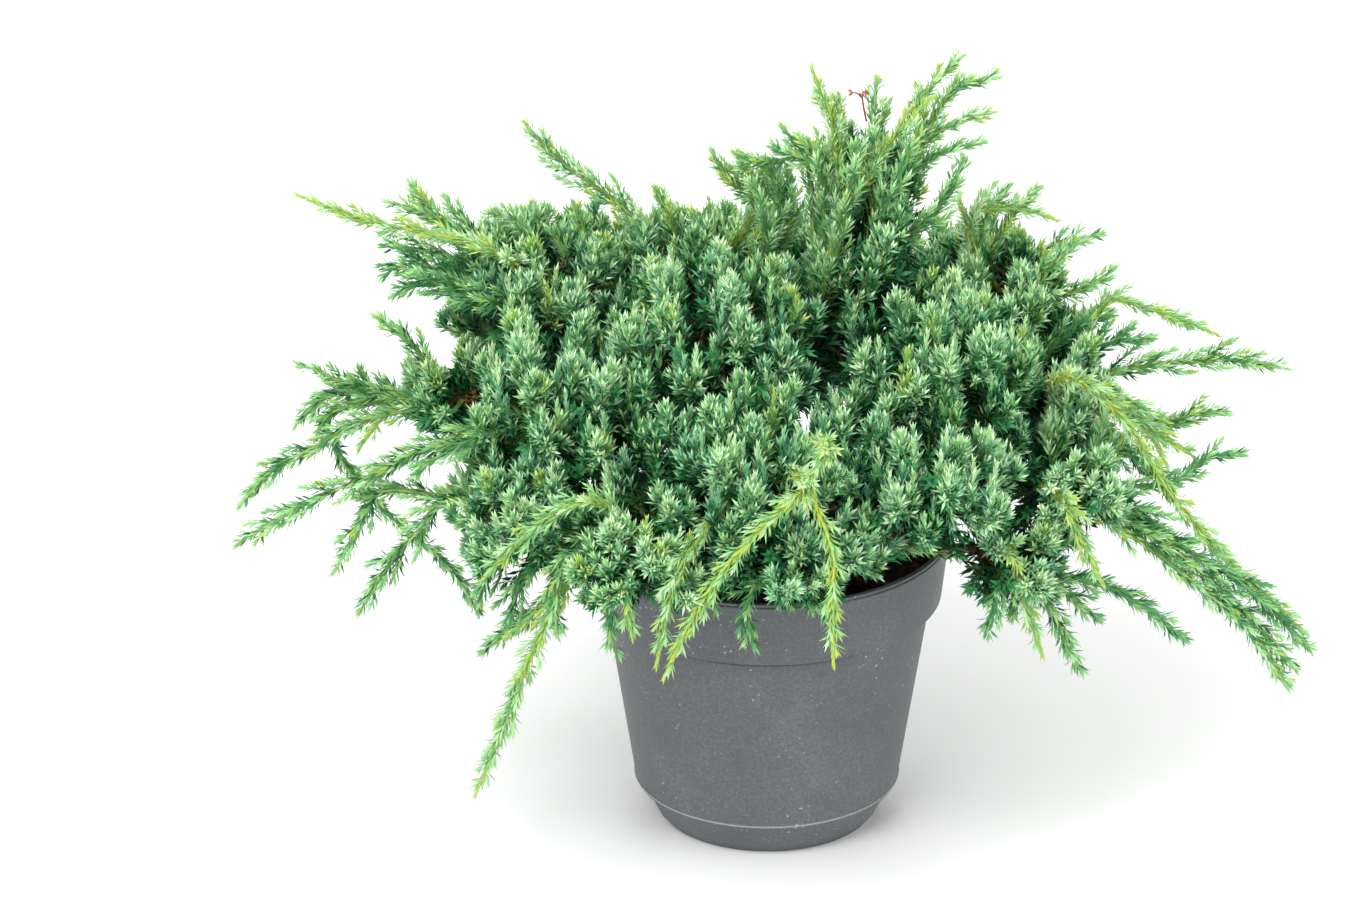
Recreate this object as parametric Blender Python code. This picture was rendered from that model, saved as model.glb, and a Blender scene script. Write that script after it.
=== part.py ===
"""A potted blue carpet flaky juniper, for Blender 4.5.

The plant stands in a round nursery pot filled with potting mix. A short trunk rises out of the mix and
carries its boughs in tiers. Each bough ends where it enters a mass of foliage. A mass is one solid: a lumpy
core round a stem, plumes that leave the stem towards a rounded lobe, a few long leaders that reach out of the
crown, and side sprays. A spray is a slim three-sided axis with whorls of needle points that stand out of it.

Lengths are in millimetres up to the point where a mesh is made. The origin is the centre of the pot's
underside, +Z is up, +X is to the right and -Y is the side that faces the viewer.
"""

import math
from collections import namedtuple

import bmesh
import bpy
import numpy as np
from mathutils import Vector

MM = 0.001
GAP = 0.3  # between two solids that touch
ODD_DIRECTION = (0.31, 0.17, 0.93)  # lies along no limb or spray, so it gives each a sideways direction

# Pot, as (radius, height) of the outer wall from the foot to the lip
POT_SIDES = 40
POT_WALL = 1.7
POT_FLOOR = 2.4
FOOT = ((34.8, 0.0), (39.4, 5.4), (42.7, 12.2))
BODY_TOP = (52.6, 77.2)
BAND_BOTTOM = (56.2, 77.2)
BAND_TOP = (58.8, 98.6)
LIP = 0.5
LIP_CHAMFER = 0.3
POT_HEIGHT = 100.0
STEP_INSIDE = 2.0  # rise of the slope inside the wall, behind the step under the band
FLOOR_CHAMFER = 2.4
DRAIN_BEARINGS = (18.0, 162.0, 198.0, 342.0)
DRAIN_WIDTH = 18.0
DRAIN_HEIGHT = 11.5
DRAIN_INSET = 34.0  # of a slot's inner end from the pot's axis
DRAIN_CUT = 14.0  # depth of a cutter from there outwards
DRAIN_BELOW = 2.0  # and how far it goes on below the pot

SOIL_TOP = 88.0

# Trunk: heights above the soil and the radius there, with the flare of the roots at its foot
TRUNK_FOOT = SOIL_TOP + GAP
TRUNK_RISE = (0.0, 4.0, 10.0, 22.0, 34.0, 41.7)
TRUNK_RADIUS = (9.6, 7.4, 6.4, 5.6, 4.6, 3.2)
TRUNK_LEAN = 0.05
TRUNK_SIDES = 9
TIER_HEIGHTS = {1: 103.0, 2: 109.0, 3: 115.5, 4: 122.0}

BOUGH_ROOT = 1.8
BOUGH_TIP = 1.3
BOUGH_SIDES = 5
BOUGH_RINGS = 5
BOUGH_GAP = 0.4  # from the trunk's round outline, whose flat sides lie a little further in
BOUGH_OUT = 0.5  # share of its reach that a bough runs level before it turns up
BOUGH_LEAST = 6.0

# Foliage: the stem and the core of a mass
HEART = np.array((0.0, 0.0, 112.0))  # the point that every mass grows away from
STEM_ROOT = 1.3
STEM_TIP = 1.0
STEM_SIDES = 5
STEM_RINGS = 5  # on a stem's whole curve, the last of which lies out in the core and isn't made
STEM_BACK = 0.85  # how far short of its lobe's centre a mass begins, in lobe sizes
STEM_ON = 0.35  # and how far past the centre its stem runs
STEM_BEND = 0.4  # share of its length that a stem goes on as its bough did
CORE_SIZE = 0.84  # of the lobe
CORE_LUMPS = 0.14
CORE_LEAST = 0.2
CORE_MOST = 1.7  # how far a core may swell, in lobe sizes, where it stays within the inner crown
CORE_STEPS = 40
CORE_DRAWN_IN = 0.95  # size of a corner after each step of drawing in
FACE_STEPS = 7
INNER_CENTRE = np.array((0.0, 0.0, 142.0))
INNER_HALVES = np.array((96.0, 80.0, 48.0))

# Plumes, leaders and side sprays, each with its whorls, the reach of its needles and the radius of its axis
Form = namedtuple("Form", "whorls needles core")
PLUME_FORM = Form(3, 8.0, 1.3)
SIDE_FORM = Form(2, 6.0, 1.1)
LEADER_AXIS = 1.0
LEADER_NEEDLES = (2.2, 0.3)  # reach of a leader's needles, and how far it grows with its side shoots
LEADER_WHORLS = (2, 4)  # fewest and most on a leader
WHORL_STEP = 25.0  # along a leader
WHORL_FULL = 0.86  # share of a whorl's step at which its needles end
WHORL_SPREAD = (0.32, 0.52)  # half turns of the sine that gives the needles' reach: at the foot, and onward
CAP_EDGE = 0.05  # cosine of the widest angle between a plume and its lobe's heading
CAP_LIFT = 0.35  # how far the middle of a lobe's plumes is turned up from its heading
PLUME_REACH = (1.02, 1.15)  # in lobe sizes
PLUME_TURN = 0.25  # most that a plume leaves the spiral's angle, in radians
PLUME_ROOTS = (0.98, 0.6)  # share of the stem at which the first plume leaves, and how far back they go
LEADER_ROOTS = (0.96, 0.4)  # shares of the stem at which the first leader and the last one leave
JOINT_OUT = 1 / 3  # share of its distance from the line past it by which a leader's joint point moves out
SIDE_LENGTH = 24.0
SIDE_SPREAD = (0.9, 1.1)  # shortest and longest side spray, as shares of that
SIDE_SHARE = 0.62  # of the plume's length at which a side spray leaves
SIDE_STEP = 0.2
SIDE_ANGLE = math.radians(42.0)
SIDE_TURN = math.radians(170.0)
SIDE_BEND = 0.55
SIDE_LIFT = 0.8
SUNK = 0.55  # depth in the core at which a spray begins, as a share of the core's reach
SIZES = (1.0, 0.85, 0.7, 0.55, 0.4)  # sizes at which a spray is tried, the largest first
GOLDEN = math.radians(137.50776)
SEED = 11

# Room that the foliage keeps
CLEARANCE = 0.5  # from a limb or another mass's space
POT_CLEARANCE = 1.0
FLOOR_CLEARANCE = 8.0
AXES_APART = 5.6
SITE_STEP = 3.0
LIMB_POINTS = 24
AXIS_POINTS = 14
ROOT_POINTS = 3  # of an axis, which lie too near its stem to be tested

# Each mass: tier of its bough (0 is the trunk's own tip), centre of its lobe, half sizes of the lobe
# outwards, across and upwards, number of plumes, and how far their tips turn up (down where negative).
MASSES = {
    "top_leader": (0, (36, 8, 193), (24, 28, 51), 8, 0.30),
    "top_left": (4, (-24, 26, 167), (38, 35, 34), 8, 0.30),
    "centre_front": (4, (-16, -18, 172), (38, 36, 35), 8, 0.34),
    "left_upper": (3, (-74, 26, 171), (34, 36, 25), 9, 0.20),
    "left_wing": (2, (-99, -4, 142), (24, 26, 16), 5, 0.15),
    "left_mid": (3, (-62, -28, 150), (38, 37, 35), 9, 0.32),
    "left_low": (1, (-72, -42, 122), (30, 32, 25), 7, -0.05),
    "front_left_low": (1, (-40, -68, 123), (32, 32, 22), 8, -0.05),
    "front_centre": (2, (-4, -58, 146), (39, 39, 33), 9, 0.34),
    "front_low": (1, (8, -70, 122), (30, 28, 16), 6, -0.10),
    "right_front_low": (2, (46, -55, 141), (35, 33, 26), 8, 0.20),
    "right_mid": (4, (52, -24, 162), (37, 35, 35), 9, 0.32),
    "right_upper": (4, (78, 24, 168), (32, 34, 24), 8, 0.30),
    "right_wing": (3, (92, 4, 146), (21, 33, 20), 8, 0.10),
    "right_low": (2, (95, -34, 129), (27, 28, 16), 6, -0.05),
    "right_under": (1, (76, -52, 112), (20, 25, 14), 6, -0.20),
    "back_left": (2, (-62, 66, 144), (42, 40, 36), 8, 0.20),
    "back_centre": (3, (4, 62, 150), (42, 40, 33), 7, 0.25),
    "back_right": (2, (60, 64, 142), (38, 37, 34), 8, 0.20),
    "back_low_left": (1, (-73, 56, 110), (34, 33, 25), 6, -0.10),
    "back_low": (1, (-4, 94, 108), (38, 36, 28), 6, -0.15),
    "back_low_right": (1, (74, 58, 110), (33, 32, 25), 6, -0.10),
}

# Each long leader: its mass, the length of the side shoots at its foot, the points that it passes, and its
# tip.
LEADERS = (
    ("top_leader", 7, ((48, 10, 244), (62, 11, 260))),
    ("top_leader", 6, ((53, 8, 242), (64, 8, 250), (74, 9, 253))),
    ("top_leader", 6, ((58, 3, 239), (72, 2, 244))),
    ("top_leader", 6, ((56, -3, 232), (69, -4, 236))),
    ("top_leader", 11, ((55, -4, 215), (62, -2, 230))),
    ("top_leader", 7, ((33, 8, 240), (34, 8, 254))),
    ("top_leader", 6, ((22, 9, 239), (22, 9, 248))),
    ("top_leader", 7, ((21, 6, 233), (17, 8, 243), (13, 8, 258))),
    ("top_leader", 10, ((19, 6, 220), (12, 6, 228), (3, 6, 237))),
    ("top_leader", 7, ((18, 2, 218), (9, 2, 227), (-1, 0, 233))),
    ("top_leader", 6, ((40, -2, 237), (53, 4, 249))),
    ("top_left", 12, ((-41, 26, 195), (-55, 29, 206), (-69, 30, 217), (-79, 30, 229))),
    ("top_left", 11, ((-32, 26, 198), (-37, 26, 209))),
    ("top_left", 12, ((-13, 18, 210), (-19, 18, 224))),
    ("top_left", 12, ((-6, 16, 213), (-9, 14, 226))),
    ("top_left", 11, ((1, 12, 218), (-5, 10, 224))),
    ("top_left", 11, ((-22, 22, 195), (-26, 22, 203))),
    ("left_upper", 8, ((-82, 6, 191), (-105, 16, 195), (-128, 22, 197), (-152, 24, 206))),
    ("left_upper", 10, ((-102, 26, 193), (-110, 28, 201), (-116, 30, 209))),
    ("left_upper", 5, ((-110, 26, 198), (-123, 26, 203))),
    ("left_upper", 10, ((-96, 30, 191), (-105, 32, 203))),
    ("left_upper", 8, ((-107, 18, 188), (-125, 18, 191))),
    ("left_upper", 13, ((-102, 14, 182), (-115, 12, 186), (-121, 10, 183))),
    ("left_upper", 13, ((-98, 8, 180), (-109, 4, 184), (-119, 2, 180))),
    ("left_upper", 9, ((-76, 26, 189), (-84, 26, 197), (-92, 24, 200))),
    ("left_upper", 8, ((-68, 30, 187), (-72, 32, 192))),
    ("left_upper", 8, ((-60, 30, 192), (-63, 30, 202))),
    ("left_wing", 10, ((-114, 0, 164), (-127, 2, 174))),
    ("left_wing", 8, ((-118, -2, 146), (-134, -4, 152), (-152, -4, 160))),
    ("left_wing", 7, ((-127, 2, 145), (-141, 4, 145), (-153, 4, 132))),
    ("left_wing", 8, ((-122, -6, 143), (-144, -8, 132), (-158, -10, 125), (-171, -10, 110))),
    ("left_wing", 6, ((-138, 0, 144), (-134, 4, 118), (-117, 8, 95), (-101, 8, 80), (-93, 8, 63))),
    ("left_mid", 11, ((-102, -38, 148), (-123, -36, 136), (-150, -33, 122), (-171, -32, 107))),
    ("left_low", 8, ((-118, -32, 129), (-129, -32, 116), (-140, -30, 96))),
    ("left_low", 9, ((-99, -42, 131), (-112, -42, 120), (-123, -41, 105), (-132, -40, 88))),
    ("left_low", 11, ((-72, -56, 103), (-83, -54, 93), (-93, -50, 78))),
    ("left_low", 7, ((-80, -58, 111), (-86, -58, 96))),
    ("front_left_low", 8, ((-54, -74, 129), (-71, -72, 99), (-83, -68, 64), (-94, -66, 35))),
    ("front_left_low", 7, ((-50, -80, 146), (-72, -78, 138), (-92, -72, 113))),
    ("front_left_low", 6, ((-45, -88, 120), (-43, -88, 101))),
    ("front_left_low", 5, ((-50, -80, 108), (-49, -78, 92))),
    ("front_left_low", 8, ((-64, -76, 123), (-67, -74, 94))),
    ("front_centre", 6, ((-24, -92, 137), (-31, -92, 120), (-36, -90, 92))),
    ("front_centre", 6, ((12, -97, 161), (-2, -97, 146), (-21, -94, 119), (-34, -90, 88))),
    ("front_centre", 6, ((18, -88, 171), (12, -97, 159), (19, -99, 139), (19, -97, 118), (20, -93, 94))),
    ("front_low", 6, ((-6, -86, 117), (-5, -86, 97))),
    ("right_front_low", 6, ((29, -56, 117), (42, -44, 114), (64, -30, 102))),
    ("right_upper", 8, ((100, 12, 178), (112, 12, 186))),
    ("right_upper", 10, ((62, 16, 198), (78, 20, 203), (94, 20, 198))),
    ("right_upper", 9, ((78, 22, 200), (88, 22, 210))),
    ("right_upper", 9, ((71, 22, 201), (78, 22, 211))),
    ("right_upper", 8, ((92, 16, 186), (100, 16, 194))),
    ("right_wing", 6, ((105, 8, 174), (120, 8, 173), (131, 7, 170), (145, 6, 164))),
    ("right_wing", 11, ((110, 5, 153), (124, 4, 158), (137, 2, 160), (150, 1, 161), (168, 0, 155))),
    ("right_wing", 10, ((104, 4, 161), (117, 4, 166), (128, 4, 167))),
    ("right_wing", 11, ((106, -20, 140), (120, -22, 132), (128, -24, 121))),
    ("right_wing", 8, ((123, -4, 138), (135, -5, 143), (149, -6, 142))),
    ("right_wing", 7, ((112, -16, 152), (129, -14, 142))),
    ("right_wing", 7, ((119, -16, 143), (137, -16, 131))),
    ("right_wing", 6, ((94, -32, 168), (113, -30, 150), (127, -28, 126), (146, -26, 101), (174, -22, 71))),
    ("right_wing", 9, ((98, 8, 166), (112, 8, 171))),
    ("right_low", 7, ((127, -22, 124), (139, -20, 134), (153, -20, 134))),
    ("right_low", 10, ((113, -34, 119), (142, -34, 102), (162, -34, 85), (174, -34, 71))),
    ("right_low", 9, ((100, -38, 128), (125, -37, 112), (153, -37, 86), (170, -37, 65))),
    ("right_low", 9, ((103, -40, 125), (134, -40, 100), (156, -40, 79), (167, -40, 60))),
    ("right_low", 7, ((91, -58, 139), (98, -60, 123), (106, -62, 107))),
    ("right_under", 7, ((94, -46, 104), (116, -46, 96), (134, -44, 79))),
    ("right_under", 9, ((87, -56, 103), (94, -56, 85), (100, -54, 73))),
    ("right_under", 9, ((75, -64, 124), (81, -64, 103), (87, -64, 83))),
    ("right_under", 7, ((73, -60, 112), (68, -62, 89))),
    ("right_under", 7, ((78, -58, 108), (76, -58, 93))),
    ("back_left", 8, ((-94, 90, 160), (-112, 102, 158))),
    ("back_centre", 8, ((0, 104, 168), (-8, 128, 160))),
    ("back_right", 8, ((94, 88, 160), (112, 98, 160))),
    ("back_low_left", 8, ((-112, 76, 114), (-136, 82, 88))),
    ("back_low", 8, ((-10, 130, 104), (-14, 146, 76))),
    ("back_low_right", 8, ((112, 78, 110), (134, 88, 80))),
    ("back_centre", 8, ((30, 96, 172), (38, 114, 176))),
    ("back_low_left", 8, ((-84, 94, 112), (-98, 114, 94))),
    ("back_low_right", 8, ((86, 90, 112), (100, 112, 92))),
)

# Materials
GREY_PLASTIC = ("grey_plastic", (0.135, 0.142, 0.147), 0.55)
POTTING_MIX = ("potting_mix", (0.022, 0.016, 0.012), 0.95)
BROWN_BARK = ("brown_bark", (0.17, 0.09, 0.045), 0.85)
BLUE_NEEDLES = ("blue_needles", (0.075, 0.21, 0.135), 0.60)


def clear_scene():
    """Takes away every object that the scene starts with."""
    for obj in list(bpy.data.objects):
        bpy.data.objects.remove(obj, do_unlink=True)


def material(spec):
    """The Principled material of that name, made once."""
    name, colour, roughness = spec
    made = bpy.data.materials.get(name)
    if made is None:
        made = bpy.data.materials.new(name)
        made.use_nodes = True
        shader = made.node_tree.nodes["Principled BSDF"]
        shader.inputs["Base Color"].default_value = (*colour, 1.0)
        shader.inputs["Roughness"].default_value = roughness
        shader.inputs["Metallic"].default_value = 0.0
    return made


def mesh_object(name, points, faces, spec):
    """An object made of points in millimetres and faces, with its normals pointing out."""
    mesh = bpy.data.meshes.new(name)
    mesh.from_pydata((np.asarray(points) * MM).tolist(), [], [list(map(int, face)) for face in faces])
    mesh.update()
    obj = bpy.data.objects.new(name, mesh)
    bpy.context.scene.collection.objects.link(obj)
    mesh.materials.append(material(spec))
    return obj


# Directions and curves


def unit(vector):
    """The vector at length one."""
    return vector / np.linalg.norm(vector)


def rotated(vector, axis, angle):
    """The vector turned about a unit axis, by Rodrigues' formula."""
    across = np.cross(axis, vector)
    along = axis * np.dot(axis, vector) * (1.0 - math.cos(angle))
    return vector * math.cos(angle) + across * math.sin(angle) + along


def arc(start, middle, end, count):
    """Points along the quadratic Bezier curve from start to end that leans towards middle."""
    t = np.linspace(0.0, 1.0, count)[:, None]
    return (1 - t) ** 2 * start + 2 * t * (1 - t) * middle + t**2 * end


def arc_at(start, middle, end, t):
    """The point at t on that curve, and the curve's heading there."""
    point = (1 - t) ** 2 * start + 2 * t * (1 - t) * middle + t**2 * end
    heading = 2 * (1 - t) * (middle - start) + 2 * t * (end - middle)
    return point, unit(heading)


class Path:
    """A run of curves joined end to end. A place on it is a share of the whole, in which each curve takes up
    as much as its straight length."""

    def __init__(self, *curves):
        self.curves = curves
        lengths = [np.linalg.norm(end - start) for start, _, end in curves]
        self.length = float(sum(lengths))
        self.joints = np.concatenate(((0.0,), np.cumsum(lengths) / self.length))

    def at(self, share):
        """The point at a share of the path, and the path's heading there."""
        number = min(int(np.searchsorted(self.joints, share, "right")) - 1, len(self.curves) - 1)
        start, end = self.joints[number : number + 2]
        return arc_at(*self.curves[number], (share - start) / (end - start))

    def points(self, shares):
        """The points at some shares of the path."""
        return np.array([self.at(share)[0] for share in shares])


def rings_along(points, radii, sides, turns=None):
    """A ring of points round each point of a path, turned by the angle in turns. The frame that carries the
    rings is passed on along the path, so that it doesn't spin."""
    headings = np.gradient(points, axis=0)
    across = np.cross(headings[0], ODD_DIRECTION)
    around = np.arange(sides) * math.tau / sides
    rings = []
    for number, (point, heading, radius) in enumerate(zip(points, headings, radii)):
        heading = unit(heading)
        across = unit(across - heading * np.dot(across, heading))
        up = np.cross(heading, across)
        turn = around if turns is None else around + turns[number]
        rings.append(point + radius * (np.cos(turn)[:, None] * across + np.sin(turn)[:, None] * up))
    return np.array(rings)


def skin(rings, tip=None):
    """Points and faces of the closed surface over a run of rings, with a flat first end. The last end is
    flat too, or runs to a point where tip is given."""
    count, sides = rings.shape[:2]
    points = rings.reshape(-1, 3)
    side = np.arange(sides)
    onward = (side + 1) % sides
    faces = [tuple(side[::-1])]
    for ring in range(count - 1):
        low, high = ring * sides, (ring + 1) * sides
        for a, b in zip(side, onward):
            faces.append((low + a, low + b, high + a))
            faces.append((low + b, high + b, high + a))
    last = (count - 1) * sides
    if tip is None:
        faces.append(tuple(last + side))
    else:
        points = np.vstack((points, tip))
        faces.extend((last + a, last + b, len(points) - 1) for a, b in zip(side, onward))
    return points, faces


# Pot, soil and limbs


def wall_radius(height, inside=False):
    """Radius of the pot's outer or inner wall at a height."""
    corners = (*FOOT[inside:], BODY_TOP, (BAND_BOTTOM[0], BODY_TOP[1] + STEP_INSIDE * inside), BAND_TOP)
    radius = np.interp(height, [z for _, z in corners], [r for r, _ in corners])
    return radius - POT_WALL * inside


def turned(name, profile, sides, spec):
    """A solid turned about Z from a profile of (radius, height) that starts and ends on the axis."""
    shape = bmesh.new()
    points = [shape.verts.new((radius * MM, 0.0, height * MM)) for radius, height in profile]
    edges = [shape.edges.new(pair) for pair in zip(points, points[1:])]
    bmesh.ops.spin(shape, geom=points + edges, cent=(0, 0, 0), axis=(0, 0, 1), dvec=(0, 0, 0),
                   angle=math.tau, steps=sides, use_merge=True, use_normal_flip=False, use_duplicate=False)
    bmesh.ops.remove_doubles(shape, verts=shape.verts, dist=1e-6)
    bmesh.ops.recalc_face_normals(shape, faces=shape.faces)
    mesh = bpy.data.meshes.new(name)
    shape.to_mesh(mesh)
    shape.free()
    obj = bpy.data.objects.new(name, mesh)
    bpy.context.scene.collection.objects.link(obj)
    mesh.materials.append(material(spec))
    mesh.shade_smooth()
    mesh.set_sharp_from_angle(angle=math.radians(35))
    return obj


def add_pot():
    """The pot: a chamfered foot with drain slots, a tapering body, a stepped-out band and a small lip."""
    rim = BAND_TOP[0] + LIP
    outer = [(0.0, 0.0), *FOOT, BODY_TOP, BAND_BOTTOM, BAND_TOP, (rim, BAND_TOP[1]),
             (rim, POT_HEIGHT - LIP_CHAMFER), (rim - LIP_CHAMFER, POT_HEIGHT)]
    heights = (POT_HEIGHT, BODY_TOP[1] + STEP_INSIDE, BODY_TOP[1], FOOT[2][1], FOOT[1][1])
    inner = [(wall_radius(height, inside=True), height) for height in heights]
    floor = [(inner[-1][0] - FLOOR_CHAMFER, POT_FLOOR), (0.0, POT_FLOOR)]
    pot = turned("pot", outer + inner + floor, POT_SIDES, GREY_PLASTIC)
    for number, bearing in enumerate(DRAIN_BEARINGS):
        cutter = add_drain_cutter(f"drain_cutter_{number + 1}", math.radians(bearing))
        slot = pot.modifiers.new(f"drain_{number + 1}", "BOOLEAN")
        slot.operation = "DIFFERENCE"
        slot.object = cutter
    return pot


def add_drain_cutter(name, bearing):
    """A box that takes one drain slot out of the pot's foot."""
    shape = bmesh.new()
    bmesh.ops.create_cube(shape, size=1.0)
    size = Vector((DRAIN_CUT, DRAIN_WIDTH, DRAIN_HEIGHT + DRAIN_BELOW)) * MM
    bmesh.ops.scale(shape, vec=size, verts=shape.verts)
    centre = Vector((DRAIN_INSET + DRAIN_CUT / 2, 0.0, (DRAIN_HEIGHT - DRAIN_BELOW) / 2)) * MM
    bmesh.ops.translate(shape, vec=centre, verts=shape.verts)
    mesh = bpy.data.meshes.new(name)
    shape.to_mesh(mesh)
    shape.free()
    cutter = bpy.data.objects.new(name, mesh)
    cutter.rotation_euler.z = bearing
    cutter.hide_render = True
    cutter.display_type = "WIRE"
    bpy.context.scene.collection.objects.link(cutter)
    return cutter


def add_soil():
    """The potting mix, which fills the pot up to below the lip and stays just clear of its wall."""
    heights = (FOOT[1][1], FOOT[2][1], BODY_TOP[1] - GAP, BODY_TOP[1] + STEP_INSIDE, SOIL_TOP)
    side = [(wall_radius(height, inside=True) - 2 * GAP, height) for height in heights]
    low = POT_FLOOR + GAP
    profile = [(0.0, low), (side[0][0] - FLOOR_CHAMFER, low), *side, (0.0, SOIL_TOP)]
    return turned("soil", profile, POT_SIDES, POTTING_MIX)


def trunk_axis(height):
    """The middle of the trunk at a height: it leans a little to the right."""
    return np.array((TRUNK_LEAN * (height - TRUNK_FOOT), 0.0, height))


def trunk_radius(height):
    """The trunk's radius at a height."""
    return float(np.interp(height - TRUNK_FOOT, TRUNK_RISE, TRUNK_RADIUS))


def add_trunk():
    """The short trunk, flat at the ground, from its root flare to its tip."""
    points = np.array([trunk_axis(TRUNK_FOOT + rise) for rise in TRUNK_RISE])
    side = np.arange(TRUNK_SIDES) * math.tau / TRUNK_SIDES
    outline = np.stack((np.cos(side), np.sin(side), np.zeros(TRUNK_SIDES)), axis=1)
    rings = points[:, None, :] + np.array(TRUNK_RADIUS)[:, None, None] * outline
    return mesh_object("trunk", *skin(rings), BROWN_BARK)


class Mass:
    """One mass of foliage: its lobe, the curve of its bough and the curve of its stem."""

    def __init__(self, name, tier, centre, halves, plumes, lift):
        self.name = name
        self.tier = tier
        self.centre = np.array(centre, float)
        self.halves = np.array(halves, float)
        self.plumes = plumes
        self.lift = lift
        away = self.centre - HEART
        self.heading = unit(away)
        flat = unit(np.array((away[0], away[1], 0.0)))
        self.bearing = math.atan2(flat[1], flat[0])
        self.frame = np.array((flat, np.cross((0.0, 0.0, 1.0), flat), (0.0, 0.0, 1.0)))
        size = float(np.linalg.norm(self.halves * (self.frame @ self.heading)))
        self.entry = self.centre - STEM_BACK * size * self.heading
        self.end = self.centre + STEM_ON * size * self.heading
        self.bough = None
        self.stem = None

    def join(self, root_bearing):
        """Sets the curves of the bough, which leaves the trunk at that bearing, and of the stem."""
        if self.tier == 0:
            start = trunk_axis(TRUNK_FOOT + TRUNK_RISE[-1]) + (0.0, 0.0, GAP)
            onward = np.array((0.0, 0.0, 1.0))
        else:
            height = TIER_HEIGHTS[self.tier]
            out = np.array((math.cos(root_bearing), math.sin(root_bearing), 0.0))
            root = trunk_axis(height) + out * (trunk_radius(height) + BOUGH_GAP)
            reach = float(np.dot(self.entry - root, out))
            self.bough = (root, root + out * max(BOUGH_OUT * reach, BOUGH_LEAST), self.entry)
            start, onward = arc_at(*self.bough, 1.0)
            start = start + onward * GAP
        length = float(np.linalg.norm(self.end - start))
        self.stem = (start, start + onward * STEM_BEND * length, self.end)

    def within(self, points):
        """Points given outwards, across and upwards from the lobe's centre, in lobe sizes."""
        return (points - self.centre) @ self.frame.T / self.halves

    def lobe_point(self, direction):
        """The point in a direction given outwards, across and upwards, in lobe sizes."""
        return self.centre + (self.halves * direction) @ self.frame

    def plume_paths(self, rng):
        """The path of each plume. Their tips lie on a golden spiral over the lobe's outer side."""
        pole = unit(self.frame @ self.heading + (0.0, 0.0, CAP_LIFT))
        across = unit(np.cross(pole, (0.0, 1.0, 0.0)))
        up = np.cross(pole, across)
        paths = []
        for number in range(self.plumes):
            cosine = 1.0 - (1.0 - CAP_EDGE) * (number + 0.5) / self.plumes
            sine = math.sqrt(1.0 - cosine * cosine)
            turn = number * GOLDEN + rng.uniform(-PLUME_TURN, PLUME_TURN)
            direction = cosine * pole + sine * (math.cos(turn) * across + math.sin(turn) * up)
            tip = self.lobe_point(direction * rng.uniform(*PLUME_REACH))
            root, _ = arc_at(*self.stem, PLUME_ROOTS[0] - PLUME_ROOTS[1] * number / self.plumes)
            paths.append(Path((root, bent(root, tip, -self.lift), tip)))
        return paths

    def leaders(self):
        """The path of each long leader of this mass, and the reach of its needles."""
        rows = [row[1:] for row in LEADERS if row[0] == self.name]
        made = []
        for share, (side, passed) in zip(np.linspace(*LEADER_ROOTS, len(rows)), rows):
            root, _ = arc_at(*self.stem, share)
            needles = LEADER_NEEDLES[0] + LEADER_NEEDLES[1] * side
            made.append((chained(np.array((root, *passed), float)), needles))
        return made


def chained(points):
    """The path from the first point to the last by way of those between. With one on the way it is a single
    curve that passes it at t, the share of the way that the straight lines to and from the point give. With
    more it is a quadratic spline, with a joint halfway between each two points on the way, which are first
    moved outwards from the line past them, as the spline cuts its corners."""
    root, *inner, tip = points
    if len(inner) == 1:
        passed = inner[0]
        before, after = np.linalg.norm(passed - root), np.linalg.norm(tip - passed)
        t = before / (before + after)
        return Path((root, (passed - (1 - t) ** 2 * root - t**2 * tip) / (2 * t * (1 - t)), tip))
    middles = points[1:-1] + (points[1:-1] - (points[:-2] + points[2:]) / 2) * JOINT_OUT
    joints = (middles[:-1] + middles[1:]) / 2
    return Path(*zip((root, *joints), middles, (*joints, tip)))


def bent(root, tip, rise):
    """The middle point of a curve from root to tip, raised by a part of the curve's length."""
    return (root + tip) / 2 + np.array((0.0, 0.0, rise * np.linalg.norm(tip - root)))


def join_to_trunk(masses):
    """Spreads the boughs of each tier round the trunk, halfway between even steps and their own bearings."""
    for tier in (0, *TIER_HEIGHTS):
        members = sorted((mass for mass in masses if mass.tier == tier), key=lambda mass: mass.bearing)
        step = math.tau / len(members)
        offset = sum(mass.bearing - step * place for place, mass in enumerate(members)) / len(members)
        for place, mass in enumerate(members):
            mass.join((mass.bearing + step * place + offset) / 2)


def add_bough(mass):
    """The tapering bough that carries a mass."""
    points = arc(*mass.bough, BOUGH_RINGS)
    radii = np.linspace(BOUGH_ROOT, BOUGH_TIP, BOUGH_RINGS)
    return mesh_object(f"bough_{mass.name}", *skin(rings_along(points, radii, BOUGH_SIDES)), BROWN_BARK)


# Sprays


def spray(path, first, whorls, needles, core):
    """A spray along a path, from the share first of its length to its tip: whorls of three needle points
    that lean forward, each turned half a step from the one before, on a slim axis."""
    step = (1.0 - first) / whorls
    shares = []
    radii = []
    for number in range(whorls):
        spread = needles * math.sin(math.pi * (WHORL_SPREAD[0] + WHORL_SPREAD[1] * number / (whorls - 1)))
        shares.extend((first + step * number, first + step * (number + WHORL_FULL)))
        radii.extend((core, spread))
    turns = np.arange(2 * whorls) // 2 * math.pi / 3
    return skin(rings_along(path.points(shares), radii, 3, turns), tip=path.curves[-1][2])


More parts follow.
